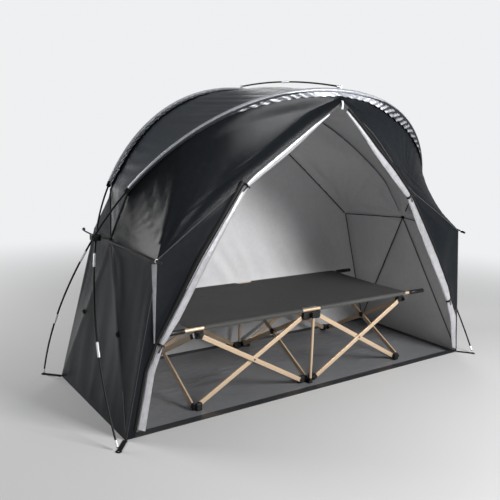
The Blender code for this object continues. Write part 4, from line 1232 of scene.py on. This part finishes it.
def flapWays(curve, seam, cloth):
    # for each point of the hoop: the seam below it, the way the flap lies on the cloth, and the way out of it
    ways = []
    for p in curve:
        k = min(range(len(seam)), key=lambda j: (seam[j] - p).length_squared)
        lie = (cloth[k] - seam[k]).normalized()
        out = headingAt(seam, k).cross(lie).normalized()
        ways.append((seam[k], lie, out if out.dot(p - Vector((0, 0, 0.5))) >= 0 else -out))
    return ways


def sleeveTube(values, curve, lean):
    count, sides = len(curve) - 1, sleeves["round"]
    normal, lengths, back = hoopNormal(lean), lineLengths(curve), len(curve) * sides
    outer, inner, uv, faces, which, dark = [], [], [], [], [], []
    for i, p in enumerate(curve):
        ahead = headingAt(curve, i)
        side = normal.cross(ahead).normalized()
        up = ahead.cross(side)
        sky = ((p - tentHeart).normalized() + zWay * 0.8).normalized()
        limit = valueAt(values["shade"], i / count)
        for k in range(sides):
            turn = 2 * math.pi * k / sides
            x, y = math.cos(turn), math.sin(turn)
            radius = sleeves["radius"] * (1 + 0.05 * ripple(lengths[i] * 45, x * 1.5, y * 1.5 + lean * 5))
            way = side * x + up * y
            outer.append(p + way * radius)
            inner.append(p + way * (radius - sleeves["tubeThick"]))
            uv.append((lengths[i], k * 0.004))
            # painted highlight and shade: the side facing up and out towards the sky is silver and the rest
            # goes dark; shade sets how far round the silver reaches
            dark.append(1 - ease(way.dot(sky) - limit + 0.10, 0.20))
    for i in range(count):
        ends = min(lengths[i], lengths[-1] - lengths[i + 1]) < sleeves["end"]
        for k in range(sides):
            n = (k + 1) % sides
            ring = (i * sides + k, i * sides + n, (i + 1) * sides + n, (i + 1) * sides + k)
            faces += [ring, tuple(v + back for v in reversed(ring))]
            which += [1, 1] if ends else [0, 0]
    for i in (0, count):
        for k in range(sides):
            a, b = i * sides + k, i * sides + (k + 1) % sides
            faces.append((a, b, b + back, a + back))
            which.append(1)
    piece = place("tube", outer + inner, faces, ("silverCloth", "webbing"), uv * 2, which, turn=True)
    return piece, dark * 2


def sleeveFlap(values, curve, lean, seam, cloth):
    count, across, lengths = len(curve) - 1, sleeves["across"], lineLengths(curve)
    front, back, uv, dark = [], [], [], []
    for i, (p, (root, lie, out)) in enumerate(zip(curve, flapWays(curve, seam, cloth))):
        share, run = i / count, lengths[i]
        wide, base, valley = (valueAt(values[k], share) for k in ("flap", "dark", "valley"))
        full = 0.2 + 0.8 * min(1.0, valley / 0.4)
        puff = min(sleeves["lift"], wide * 0.18) * full * (0.75 + 0.5 * ripple(run * 4, lean * 2.0, 0.0))
        wobble = 2.2 * ripple(run * 7, lean, 3.0)
        slant = sleeves["slant"] * wide * (1 if share > 0.5 else -1)
        for k in range(across):
            t = k / (across - 1)
            crest = 0.5 + 0.5 * math.sin((run + slant * t) / values["pitch"] * fullTurn + wobble)
            reach = wide * (0.84 + 0.16 * crest) * t
            lift = 0.0030 + puff * crest * math.sin(math.pi * (0.12 + 0.80 * t))
            lift += sleeves["crinkle"] * full * ripple(run * 70, t * 3.0, lean * 4.0)
            spot = p.lerp(root, 0.55) + out * (0.004 * (1 - t) + lift) + lie * (0.004 + reach)
            front.append(spot)
            back.append(spot - out * sleeves["thick"])
            uv.append((run, k * 0.005))
            # painted shade: the valleys between the gathers go dark, and so does the flap's free edge
            low = (1 - crest) + 0.5 * ripple(run * 50, t * 4.0, lean * 7.0)
            dark.append(max(0.0, min(1.0, base + valley * (low - 0.25) + 0.3 * ease(t - 0.85, 0.15))))
    faces = gridShell(count + 1, across)[0]
    return place("flap", front + back, faces, ("silverCloth", "webbing"), uv * 2, turn=True), dark * 2


def makeSleeve(word, lean, seam, cloth):
    values = sleeves[word]
    curve = evenly(hoopCurve(lean, tent["sleeveStart"]), sleeves["steps"])
    parts = []
    for part, dark in (sleeveTube(values, curve, lean), sleeveFlap(values, curve, lean, seam, cloth)):
        part.data.attributes.new("dark", 'FLOAT', 'POINT').data.foreach_set("value", dark)
        parts.append(part)
    piece = joined(word + "_sleeve_cloth", parts)
    lineLengths(curve)[-1]
    return stand(piece, "tent", "silver_fabric", word + "_sleeve")


makeSleeve("rear", -1, rearSeam, frontSeam)
makeSleeve("front", 1, frontSeam, gableSeam(-1))
print("sleeves gathered")

# poles. A turned part is a list of a place along the pole and a radius, a ferrule's from its middle out
pole = {"radius": 0.00475, "heights": (0.380, 0.750), "tipLong": 0.030, "foot": 0.0010, "steps": 360,
        "ferrule": [(0.0035, 0.0058), (0.004, 0.0062), (0.0338, 0.0062), (0.035, 0.0051)],
        "tip": [(0, 0.0028), (0.003, 0.0046), (0.006, 0.0054), (0.030, 0.0054), (0.034, 0.0049)]}


def alongAt(points, d):
    # a place on the line and the way that the line goes there
    before, spot, after = atLengths(points, [d - 0.004, d, d + 0.004])
    return spot, after - before


def hoopPole(word, lean):
    curve = [p for p in hoopCurve(lean) if p.z > pole["foot"]]
    lengths = lineLengths(curve)
    total, parts = lengths[-1], [bentRod(evenly(curve, pole["steps"]), pole["radius"])]
    middles = [next(d for p, d in zip(curve, lengths) if p.z > high) for high in pole["heights"]]
    parts += copiesAt(turned("ferrule", bothWays(pole["ferrule"]), "ferruleMetal"),
                      *(alongAt(curve, d) for middle in middles for d in (middle, total - middle)))
    start, startIn, endIn, end = atLengths(curve, [0.0, pole["tipLong"], total - pole["tipLong"], total])
    tip = turned("tip", pole["tip"], "ferruleMetal")
    parts += copiesAt(tip, (start, startIn - start), (end, endIn - end))
    return stand(joined(word + "_hoop_pole_rod", parts), "tent", "pole", word + "_hoop_pole")


hoopPole("front", 1)
hoopPole("rear", -1)

# the ridge pole's ends sit on the sleeves
ridge = {"bow": 0.026, "past": 0.012, "sleeve": 0.989 * 0.012, "capRadius": 0.0085, "clear": 0.0004,
         "radius": 0.0045, "steps": 60, "capLong": 0.03, "capIn": 0.002,
         "ferrule": [(0.0035, 0.0055), (0.004, 0.0059), (0.034, 0.0059), (0.035, 0.0049)],
         "cap": [(0, 0.0062), (0.0015, 0.0085), (0.010, 0.0085), (0.0115, 0.0067), (0.0140, 0.0067),
                 (0.0155, 0.0085), (0.0240, 0.0085), (0.0260, 0.0058)],
         "collarAt": 0.0285, "collar": (0.0072, 0.0013)}


def ridgePole():
    front, rear = tent["frontTopDeep"], tent["rearTopDeep"]
    half, middle = (front + rear) / 2, (rear - front) / 2
    reach = half + ridge["past"]
    lift = ridge["sleeve"] + ridge["capRadius"] * math.cos(math.pi / 8) + ridge["clear"]
    high = (tent["frontTopHigh"] + tent["rearTopHigh"]) / 2 + lift
    rise = (tent["rearTopHigh"] - tent["frontTopHigh"]) / 2

    def at(y):
        return Vector((0, middle + y, high + rise * y / half + ridge["bow"] * (1 - (y / half) ** 2)))

    end, steps = reach - ridge["capIn"], ridge["steps"]
    parts = [bentRod([at(-end + 2 * end * i / steps) for i in range(steps + 1)], ridge["radius"]),
             putAt(turned("ferrule", bothWays(ridge["ferrule"]), "ferruleMetal"), at(0.0), yWay)]
    ways = [(sign, at(sign * (reach - ridge["capLong"])) - at(sign * reach)) for sign in (-1, 1)]
    parts += copiesAt(turned("cap", ridge["cap"], "ferruleMetal"),
                      *((at(sign * reach), way) for sign, way in ways))
    parts += copiesAt(collarRing(*ridge["collar"]),
                      *((at(sign * (reach - ridge["collarAt"])), way) for sign, way in ways))
    return stand(joined("ridge_pole_rod", parts), "tent", "pole", "ridge_pole")


ridgePole()

# brow poles bend back and down from the strap point to the eave corners
brow = {"middleLong": 1.123, "frontLong": 1.050, "rearLong": 1.020, "endDeep": 0.482, "rodHalf": 0.510,
        "steps": 80, "radius": 0.0040, "tip": 0.515, "capIn": 0.472, "collarAt": 0.484,
        "collar": (0.0082, 0.0014),
        "cap": [(0, 0.0042), (0.0015, 0.0060), (0.0110, 0.0066), (0.0420, 0.0066), (0.0430, 0.0046)]}


def browPole(word, side):
    drop = (hubHigh - tent["eaveHigh"]) / brow["endDeep"] ** 2

    def at(y):
        bend = (brow["middleLong"] - brow["frontLong" if y < 0 else "rearLong"]) / brow["endDeep"] ** 2
        return Vector((side * (brow["middleLong"] - bend * y * y), y, hubHigh - drop * y * y))

    half, steps = brow["rodHalf"], brow["steps"]
    parts = [bentRod([at(-half + 2 * half * i / steps) for i in range(steps + 1)], brow["radius"])]
    ways = [(sign, at(sign * brow["capIn"]) - at(sign * brow["tip"])) for sign in (-1, 1)]
    parts += copiesAt(turned("cap", brow["cap"], "blackPlastic", 18),
                      *((at(sign * brow["tip"]), way) for sign, way in ways))
    collar = collarRing(*brow["collar"])
    parts += copiesAt(collar, *((at(sign * brow["collarAt"]), way) for sign, way in ways))
    return stand(joined(word + "_brow_pole_rod", parts), "tent", "pole", word + "_brow_pole")


for word, side in bothEnds:
    browPole(word, side)
print("poles made")

# moulded joints and sewn straps keep their solids' shape with worn edges
bodyOf = {node: body for body, nodes in frame["record"]["behaviour"]["bodies"].items() for node in nodes}
wear = {"hub": 0.0015, "strap": 0.0006, "joint": 0.0012, "doubles": 0.00005, "flat": 2, "sharp": 35}


def wornEdges(node, slot, look, bevel):
    copy = bpy.data.objects.new(node + "_moulded", frame["nodes"][node].data.copy())
    scene.collection.objects.link(copy)
    choose(copy)
    bpy.ops.object.mode_set(mode='EDIT')
    bpy.ops.mesh.select_all(action='SELECT')
    bpy.ops.mesh.remove_doubles(threshold=wear["doubles"])
    bpy.ops.mesh.dissolve_limited(angle_limit=math.radians(wear["flat"]))
    bpy.ops.object.mode_set(mode='OBJECT')
    soft = copy.modifiers.new("worn", 'BEVEL')
    soft.width = bevel
    soft.segments = 2
    soft.limit_method = 'ANGLE'
    soft.angle_limit = math.radians(wear["sharp"])
    bpy.ops.object.modifier_apply(modifier=soft.name)
    return stand(dress(copy, node + "_moulded", look), bodyOf[node], slot, node)


for word, side in bothEnds:
    wornEdges(word + "_hub", "clip", "blackPlastic", wear["hub"])
    for wall, face in bothWalls:
        wornEdges(f"corner_strap_{wall}_{word}", "webbing", "webbing", wear["strap"])
for node in bodyOf:
    if node.endswith("_foot") or node.endswith("_top_joint"):
        wornEdges(node, "bed_plastic", "blackPlastic", wear["joint"])
print("mouldings made")

# groundsheet inside its sewn black band
floorSize = {"long": 1.1325, "deep": 0.3945, "top": 0.0030, "thick": 0.0012, "crease": 0.0045,
             "creaseWide": 0.09, "soft": 0.0016, "lowest": -0.0012, "foldedHalf": 0.30, "foldedBack": -0.12,
             "rows": 180, "across": 70}


def groundsheet():
    long, deep = floorSize["long"], floorSize["deep"]
    rows, count, across = [], floorSize["rows"], floorSize["across"]
    for i in range(count + 1):
        x = -long + 2 * long * i / count
        rows.append([Vector((x, -deep + 2 * deep * k / across, floorSize["top"])) for k in range(across + 1)])

    def shape(p, s, t, edge):
        ridge = max(0.0, 1 - abs(ripple(p.x * 2.2 + p.y, p.y * 11.0, 2.0)) / floorSize["creaseWide"])
        crease = floorSize["crease"] * ridge * (0.25 + 0.75 * ease(p.y + 0.25, 0.2))
        crease += floorSize["soft"] * ripple(p.x * 8, p.y * 16, 5.0)
        # flat where the bed's feet stand when it is folded
        beside = ease(abs(p.x) - floorSize["foldedHalf"], 0.15)
        crease *= 1 - (1 - beside) * (1 - ease(p.y - floorSize["foldedBack"], 0.12))
        return max(floorSize["lowest"], crease) * ease(edge, 0.04)

    looks = ("floorCloth", "floorCloth")
    piece = clothPanel("groundsheet_cloth", rows, shape, looks, floorSize["thick"], (0, 0, -2))
    return stand(piece, "tent", "floor_fabric", "groundsheet")


groundsheet()
for slot in frame["nodes"]["floor_edge_band"].material_slots:
    slot.material = finishes["floorBand"]

# camp bed; the turned parts are lists of a place along the part and a radius
bed = {"middle": -0.025, "railDeep": 0.335, "railHigh": 0.428, "railRadius": 0.0095, "railHalf": 0.800,
       "column": 0.736, "midStep": 0.046, "endStep": 0.020, "footHigh": 0.022, "topHigh": 0.394,
       "legWide": 0.0128, "legThick": 0.0050, "edge": 0.0022, "groove": 0.0024, "grooveDeep": 0.0009,
       "worn": 0.0008, "endCap": 0.030, "boss": 0.0175, "midCross": (-0.006, 0.006),
       "endCross": (0.0055, 0.0175), "postOut": 0.0240, "postRadius": 0.0085,
       "cup": [(0, 0.0099), (0.001, 0.0106), (0.0055, 0.0106), (0.0065, 0.0101), (0.0150, 0.0101),
               (0.0160, 0.0092)],
       "rivet": [(-0.006, 0.0030), (0.0, 0.0031), (0.0001, 0.0054), (0.0009, 0.0054), (0.0018, 0.0046),
                 (0.0024, 0.0028), (0.0026, 0.0008)],
       "grip": [(0.7992, 0.0112), (0.8010, 0.0125), (0.8200, 0.0125), (0.8212, 0.0117), (0.8232, 0.0117),
                (0.8244, 0.0125), (0.9150, 0.0125), (0.9162, 0.0118), (0.9180, 0.0118), (0.9192, 0.0125),
                (0.9325, 0.0125), (0.9342, 0.0114), (0.9349, 0.0080)]}


def legTube(long, look):
    # flat oval tube with a groove along both broad sides, lying along Z with its broad sides to Y
    choose()
    w, t = bed["legWide"], bed["legThick"]
    bpy.ops.mesh.primitive_cube_add(size=1, scale=(2 * w, 2 * t, long))
    piece = bpy.context.active_object
    fixPlace()
    pick(piece, 'EDGE', lambda a, b: abs(a.z - b.z) > long * 0.9)
    bpy.ops.mesh.bevel(offset=bed["edge"], segments=3, affect='EDGES')
    pick(piece, 'FACE', lambda centre, normal: abs(normal.y) > 0.99)
    bpy.ops.mesh.inset(thickness=w - bed["edge"] - bed["groove"])
    bpy.ops.mesh.inset(thickness=bed["grooveDeep"] * 0.6, depth=-bed["grooveDeep"])
    pick(piece, 'EDGE', lambda a, b: abs(a.z) > long * 0.499 and abs(b.z) > long * 0.499)
    bpy.ops.mesh.bevel(offset=bed["worn"], segments=1, affect='EDGES')
    return dress(piece, "legTube", look, 30)


def rivetHead():
    return turned("rivet", bed["rivet"], "rivetMetal", 16)


def pivotBoss():
    # the cross legs turn on a broad black boss
    r = bed["boss"]
    stops = [(-0.003, r - 0.0008), (0.0012, r), (0.0020, r - 0.0006), (0.0024, r - 0.0016), (0.0026, 0.0060)]
    return turned("boss", stops, "blackPlastic", 28)


tubes = {}


def tubeOf(long, look):
    # legs of one length are copies of one tube
    if long not in tubes:
        tubes[long] = legTube(long, look)
    return copied(tubes[long])


def leg(node, start, end, normal, out, head):
    # out is the way that the head of the pivot faces, at the middle of the leg
    cap, long = bed["endCap"], round((end - start).length + 2 * bed["legWide"] * 0.92, 4)
    middle, way = (start + end) / 2, (end - start).normalized()
    parts = [putAt(tubeOf(round(long - 2 * cap, 4), "tubeMetal"), middle, way, normal)]
    for sign in (-1, 1):
        spot = middle + way * (sign * (long - cap) / 2)
        parts.append(putAt(tubeOf(cap, "blackPlastic"), spot, way, normal))
    parts.append(putAt(head(), middle + out * bed["legThick"], out))
    return stand(joined(node + "_tube", parts), bodyOf[node], "tube", node)


def sideLegs(word, out):
    away = Vector((0, out, 0))
    for tag, side in reversed(bothEnds):
        near = bed["middle"] + side * bed["midStep"]
        far = bed["middle"] + side * (bed["column"] - bed["endStep"])
        for kind, sign, low, high in (("outer", 1, near, far), ("inner", -1, far, near)):
            y = out * (bed["railDeep"] + sign * (bed["legThick"] + 0.001))
            ends = [Vector((low, y, bed["footHigh"])), Vector((high, y, bed["topHigh"]))]
            leg(f"{word}_{tag}_{kind}_leg", *ends[::sign], yWay, away * sign, rivetHead)


def crossLegs(word, x, first, second):
    y, away = bed["railDeep"], Vector((1 if second > first else -1, 0, 0))
    for tag, step, sign in (("a", first, -1), ("b", second, 1)):
        near, far = (bed["footHigh"], bed["topHigh"])[::-sign]
        leg(f"{word}_cross_leg_{tag}", Vector((x + step, -y, near)), Vector((x + step, y, far)),
            xWay, away * sign, pivotBoss)


for word, out in bothWalls:
    sideLegs(word, out)
crossLegs("middle", bed["middle"], *bed["midCross"])
for word, side in bothEnds:
    crossLegs(word, bed["middle"] + side * bed["column"], *(side * step for step in bed["endCross"]))
for spare in tubes.values():
    bpy.data.objects.remove(spare)


def railTube(word, out):
    rail, r = word + "_rail", bed["railRadius"]
    centre = Vector((bed["middle"], out * bed["railDeep"], bed["railHigh"]))
    bar = turned("bar", bothWays([(0.0004, r - 0.0005), (0.0008, r), (bed["railHalf"], r)]), "tubeMetal", 32)
    parts = [putAt(bar, centre, xWay)]
    parts += copiesAt(turned("grip", bed["grip"], "blackPlastic", 32), (centre, -xWay), (centre, xWay))
    return stand(joined(rail + "_tube", parts), bodyOf[rail], "tube", rail)


def postTube(word, out):
    node, r = word + "_post", bed["postRadius"]
    low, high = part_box(node)
    long = high.z - low.z
    foot = Vector((bed["middle"], out * (bed["railDeep"] + bed["postOut"]), low.z))
    stops = [(0, r - 0.0005), (0.0006, r), (long - 0.0006, r), (long, r - 0.0005)]
    post = turned("post", stops, "tubeMetal", 28)
    cup = turned("cup", bed["cup"], "blackPlastic", 28)
    parts = [putAt(part, foot, zWay, yWay) for part in (post, cup)]
    return stand(joined(node + "_tube", parts), bodyOf[node], "tube", node)


for word, out in bothWalls:
    railTube(word, out)
    postTube(word, out)
print("bed frame made")

# bed cloth: taut over the rails, with a stitched hem over each rail that stays clear of the sliding joints
bedSheet = {"half": 0.775, "wide": 0.86, "hemLeft": 0.691, "hemRight": 0.760, "mid": 0.052, "hemOut": 0.0131,
            "wrap": 141, "endWrap": 115, "notch": 0.024, "sag": 0.010, "soft": 0.0018, "pull": 0.0022,
            "thick": 0.0016, "hemThick": 0.0020, "stitchPitch": 0.0075, "folded": 0.2176, "lift": 0.0019,
            "stitchLift": 0.0021, "stitchHalf": (0.0004, 0.0003),
            "stitch": [(-0.0022, 0), (-0.0012, 0.0004), (0.0012, 0.0004), (0.0022, 0)], "rows": 160,
            "across": 60, "hemRound": 24}


def bedCloth():
    half, y0, x0 = bedSheet["half"], bed["railDeep"], bed["middle"]
    top = bed["railHigh"] + bed["railRadius"] + bedSheet["lift"]
    rows, count, across = [], bedSheet["rows"], bedSheet["across"]
    for i in range(count + 1):
        x = -half + 2 * half * i / count
        # narrower where the middle top joints reach up beside the rails
        deep = y0 - max(0.0, min(1.0, (bedSheet["mid"] - abs(x)) / 0.006 + 0.5)) * bedSheet["notch"]
        rows.append([Vector((x0 + x, -deep * (1 - k / across) + deep * k / across, top))
                     for k in range(across + 1)])

    def shape(p, s, t, edge):
        out = -bedSheet["sag"] * math.sin(math.pi * t) * (0.75 + 0.25 * math.sin(math.pi * s))
        out += bedSheet["soft"] * ripple(p.x * 3, p.y * 5, 1.0)
        out += bedSheet["pull"] * ripple(p.x * 14, p.y * 2.0, 3.0) * math.exp(-min(t, 1 - t) / 0.12)
        return out * min(1.0, min(t, 1 - t) / 0.08)

    looks = ("bedCloth", "bedCloth")
    piece = clothPanel("bed_cloth_sheet", rows, shape, looks, bedSheet["thick"], (0, 0, -2))
    end, mid, hems = bedSheet["hemLeft"], bedSheet["mid"] + 0.012, []
    for word, out in bothWalls:
        parts = [part for low, high, wrap in ((-end, -mid, bedSheet["wrap"]), (mid, end, bedSheet["wrap"]),
                                              (end + 0.0004, bedSheet["hemRight"], bedSheet["endWrap"]))
                 for part in hem(x0 + low, x0 + high, out, wrap)]
        hems.append(stand(joined(f"bed_cloth_{word}_hem", parts), word + "_rail_frame", "bed_fabric"))
    return stand(piece, "front_rail_frame", "bed_fabric", "bed_cloth")


def hem(low, high, out, wrap):
    # one length of the hem, wrapped round the rail by this many degrees, with its stitches; the hem's lighter
    # cloth is a painted highlight
    y0, z0 = out * bed["railDeep"], bed["railHigh"]
    count, turns = max(8, int((high - low) / 0.010)), bedSheet["hemRound"]
    outer, inner, uv = [], [], []
    for i in range(count + 1):
        x = low + (high - low) * i / count
        for k in range(turns + 1):
            turn = math.radians(100 - wrap * k / turns)
            r = bedSheet["hemOut"] + 0.0005 * ripple(x * 45, k * 0.3, out * 4.0)
            for shell, size in ((outer, r), (inner, r - bedSheet["hemThick"])):
                shell.append(Vector((x, y0 + out * size * math.cos(turn), z0 + size * math.sin(turn))))
            uv.append((x, k * 0.0024))
    faces = gridShell(count + 1, turns + 1)[0]
    parts = [place("hem", outer + inner, faces, ["hemCloth"], uv + uv, turn=True)]
    start = Vector((low + 0.004, y0 - out * 0.016, z0 + bed["railRadius"] + bedSheet["stitchLift"]))
    line = [Vector((x, 0, z)) for x, z in bedSheet["stitch"]]
    stitch = strap("stitch", line, *bedSheet["stitchHalf"], "hemCloth", zWay, 6)
    for i in range(int((high - low) / bedSheet["stitchPitch"])):
        parts.append(copied(stitch))
        parts[-1].data.transform(Matrix.Translation(start + xWay * (bedSheet["stitchPitch"] * i)))
    bpy.data.objects.remove(stitch)
    return parts


cloth = bedCloth()
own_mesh(cloth)
print("bed cloth laid")

# plain pale studio; the lamps are lists of a place, a power and a size
studio = {"floor": (0.56, 0.56, 0.56), "sky": (0.86, 0.87, 0.88), "fill": 0.26, "fade": (2.0, 5.0),
          "aim": Vector((0, 0, 0.6)),
          "lamps": [((1.3, -4.0, 2.5), 270, 1.6), ((-3.5, 3.1, 2.4), 140, 2.1), ((0.4, 1.0, 4.4), 8, 2.6),
                    ((3.2, 3.4, 2.4), 60, 2.2)]}


def makeFloor(values):
    choose()
    bpy.ops.mesh.primitive_plane_add(size=60, location=(0, 0, -0.0006))
    floor = bpy.context.active_object
    floor.name = "studioFloor"
    fixPlace()
    look = Look("studioFloor", Roughness=0.9)
    darker = tuple(c * 0.985 for c in values["floor"])
    look.give({"Base Color": look.mix(look.noise(0.6, 2.0), darker, values["floor"])})
    # the floor fades into the background away from the tent, for the camera alone
    reach = look.add('ShaderNodeVectorMath', {"operation": 'LENGTH'}, {0: look.places}, "Value")
    near, far = values["fade"]
    gone = look.add('ShaderNodeMapRange', {"interpolation_type": 'SMOOTHSTEP'},
                    {"Value": reach, "From Min": near, "From Max": far})
    seen = look.add('ShaderNodeLightPath', {}, {}, "Is Camera Ray")
    glow = look.add('ShaderNodeEmission', {}, {"Color": values["sky"], "Strength": 1.0})
    mixed = look.add('ShaderNodeMixShader', {},
                     {0: gone * seen, 1: Wire(look, look.shader.outputs[0]), 2: glow})
    look.links.new(mixed.socket, look.nodes["Material Output"].inputs["Surface"])
    floor.data.materials.append(look.material)


def makeSky(values):
    # full strength for the camera, a soft fill for the tent
    world = bpy.data.worlds.new("studioSky")
    scene.world = world
    world.use_nodes = True
    nodes, links = world.node_tree.nodes, world.node_tree.links
    nodes["Background"].inputs["Color"].default_value = (*values["sky"], 1)
    path = nodes.new('ShaderNodeLightPath')
    strength = nodes.new('ShaderNodeMapRange')
    strength.inputs["To Min"].default_value = values["fill"]
    strength.inputs["To Max"].default_value = 1.0
    links.new(path.outputs["Is Camera Ray"], strength.inputs["Value"])
    links.new(strength.outputs["Result"], nodes["Background"].inputs["Strength"])


def makeLamp(values, spot, power, size):
    data = bpy.data.lights.new("studioLamp", 'AREA')
    data.energy = power
    data.size = size
    lamp = bpy.data.objects.new("studioLamp", data)
    scene.collection.objects.link(lamp)
    turn = (values["aim"] - Vector(spot)).to_track_quat('-Z', 'Y').to_matrix().to_4x4()
    lamp.matrix_world = Matrix.Translation(spot) @ turn


makeFloor(studio)
makeSky(studio)
for lamp in studio["lamps"]:
    makeLamp(studio, *lamp)
print("studio lit")
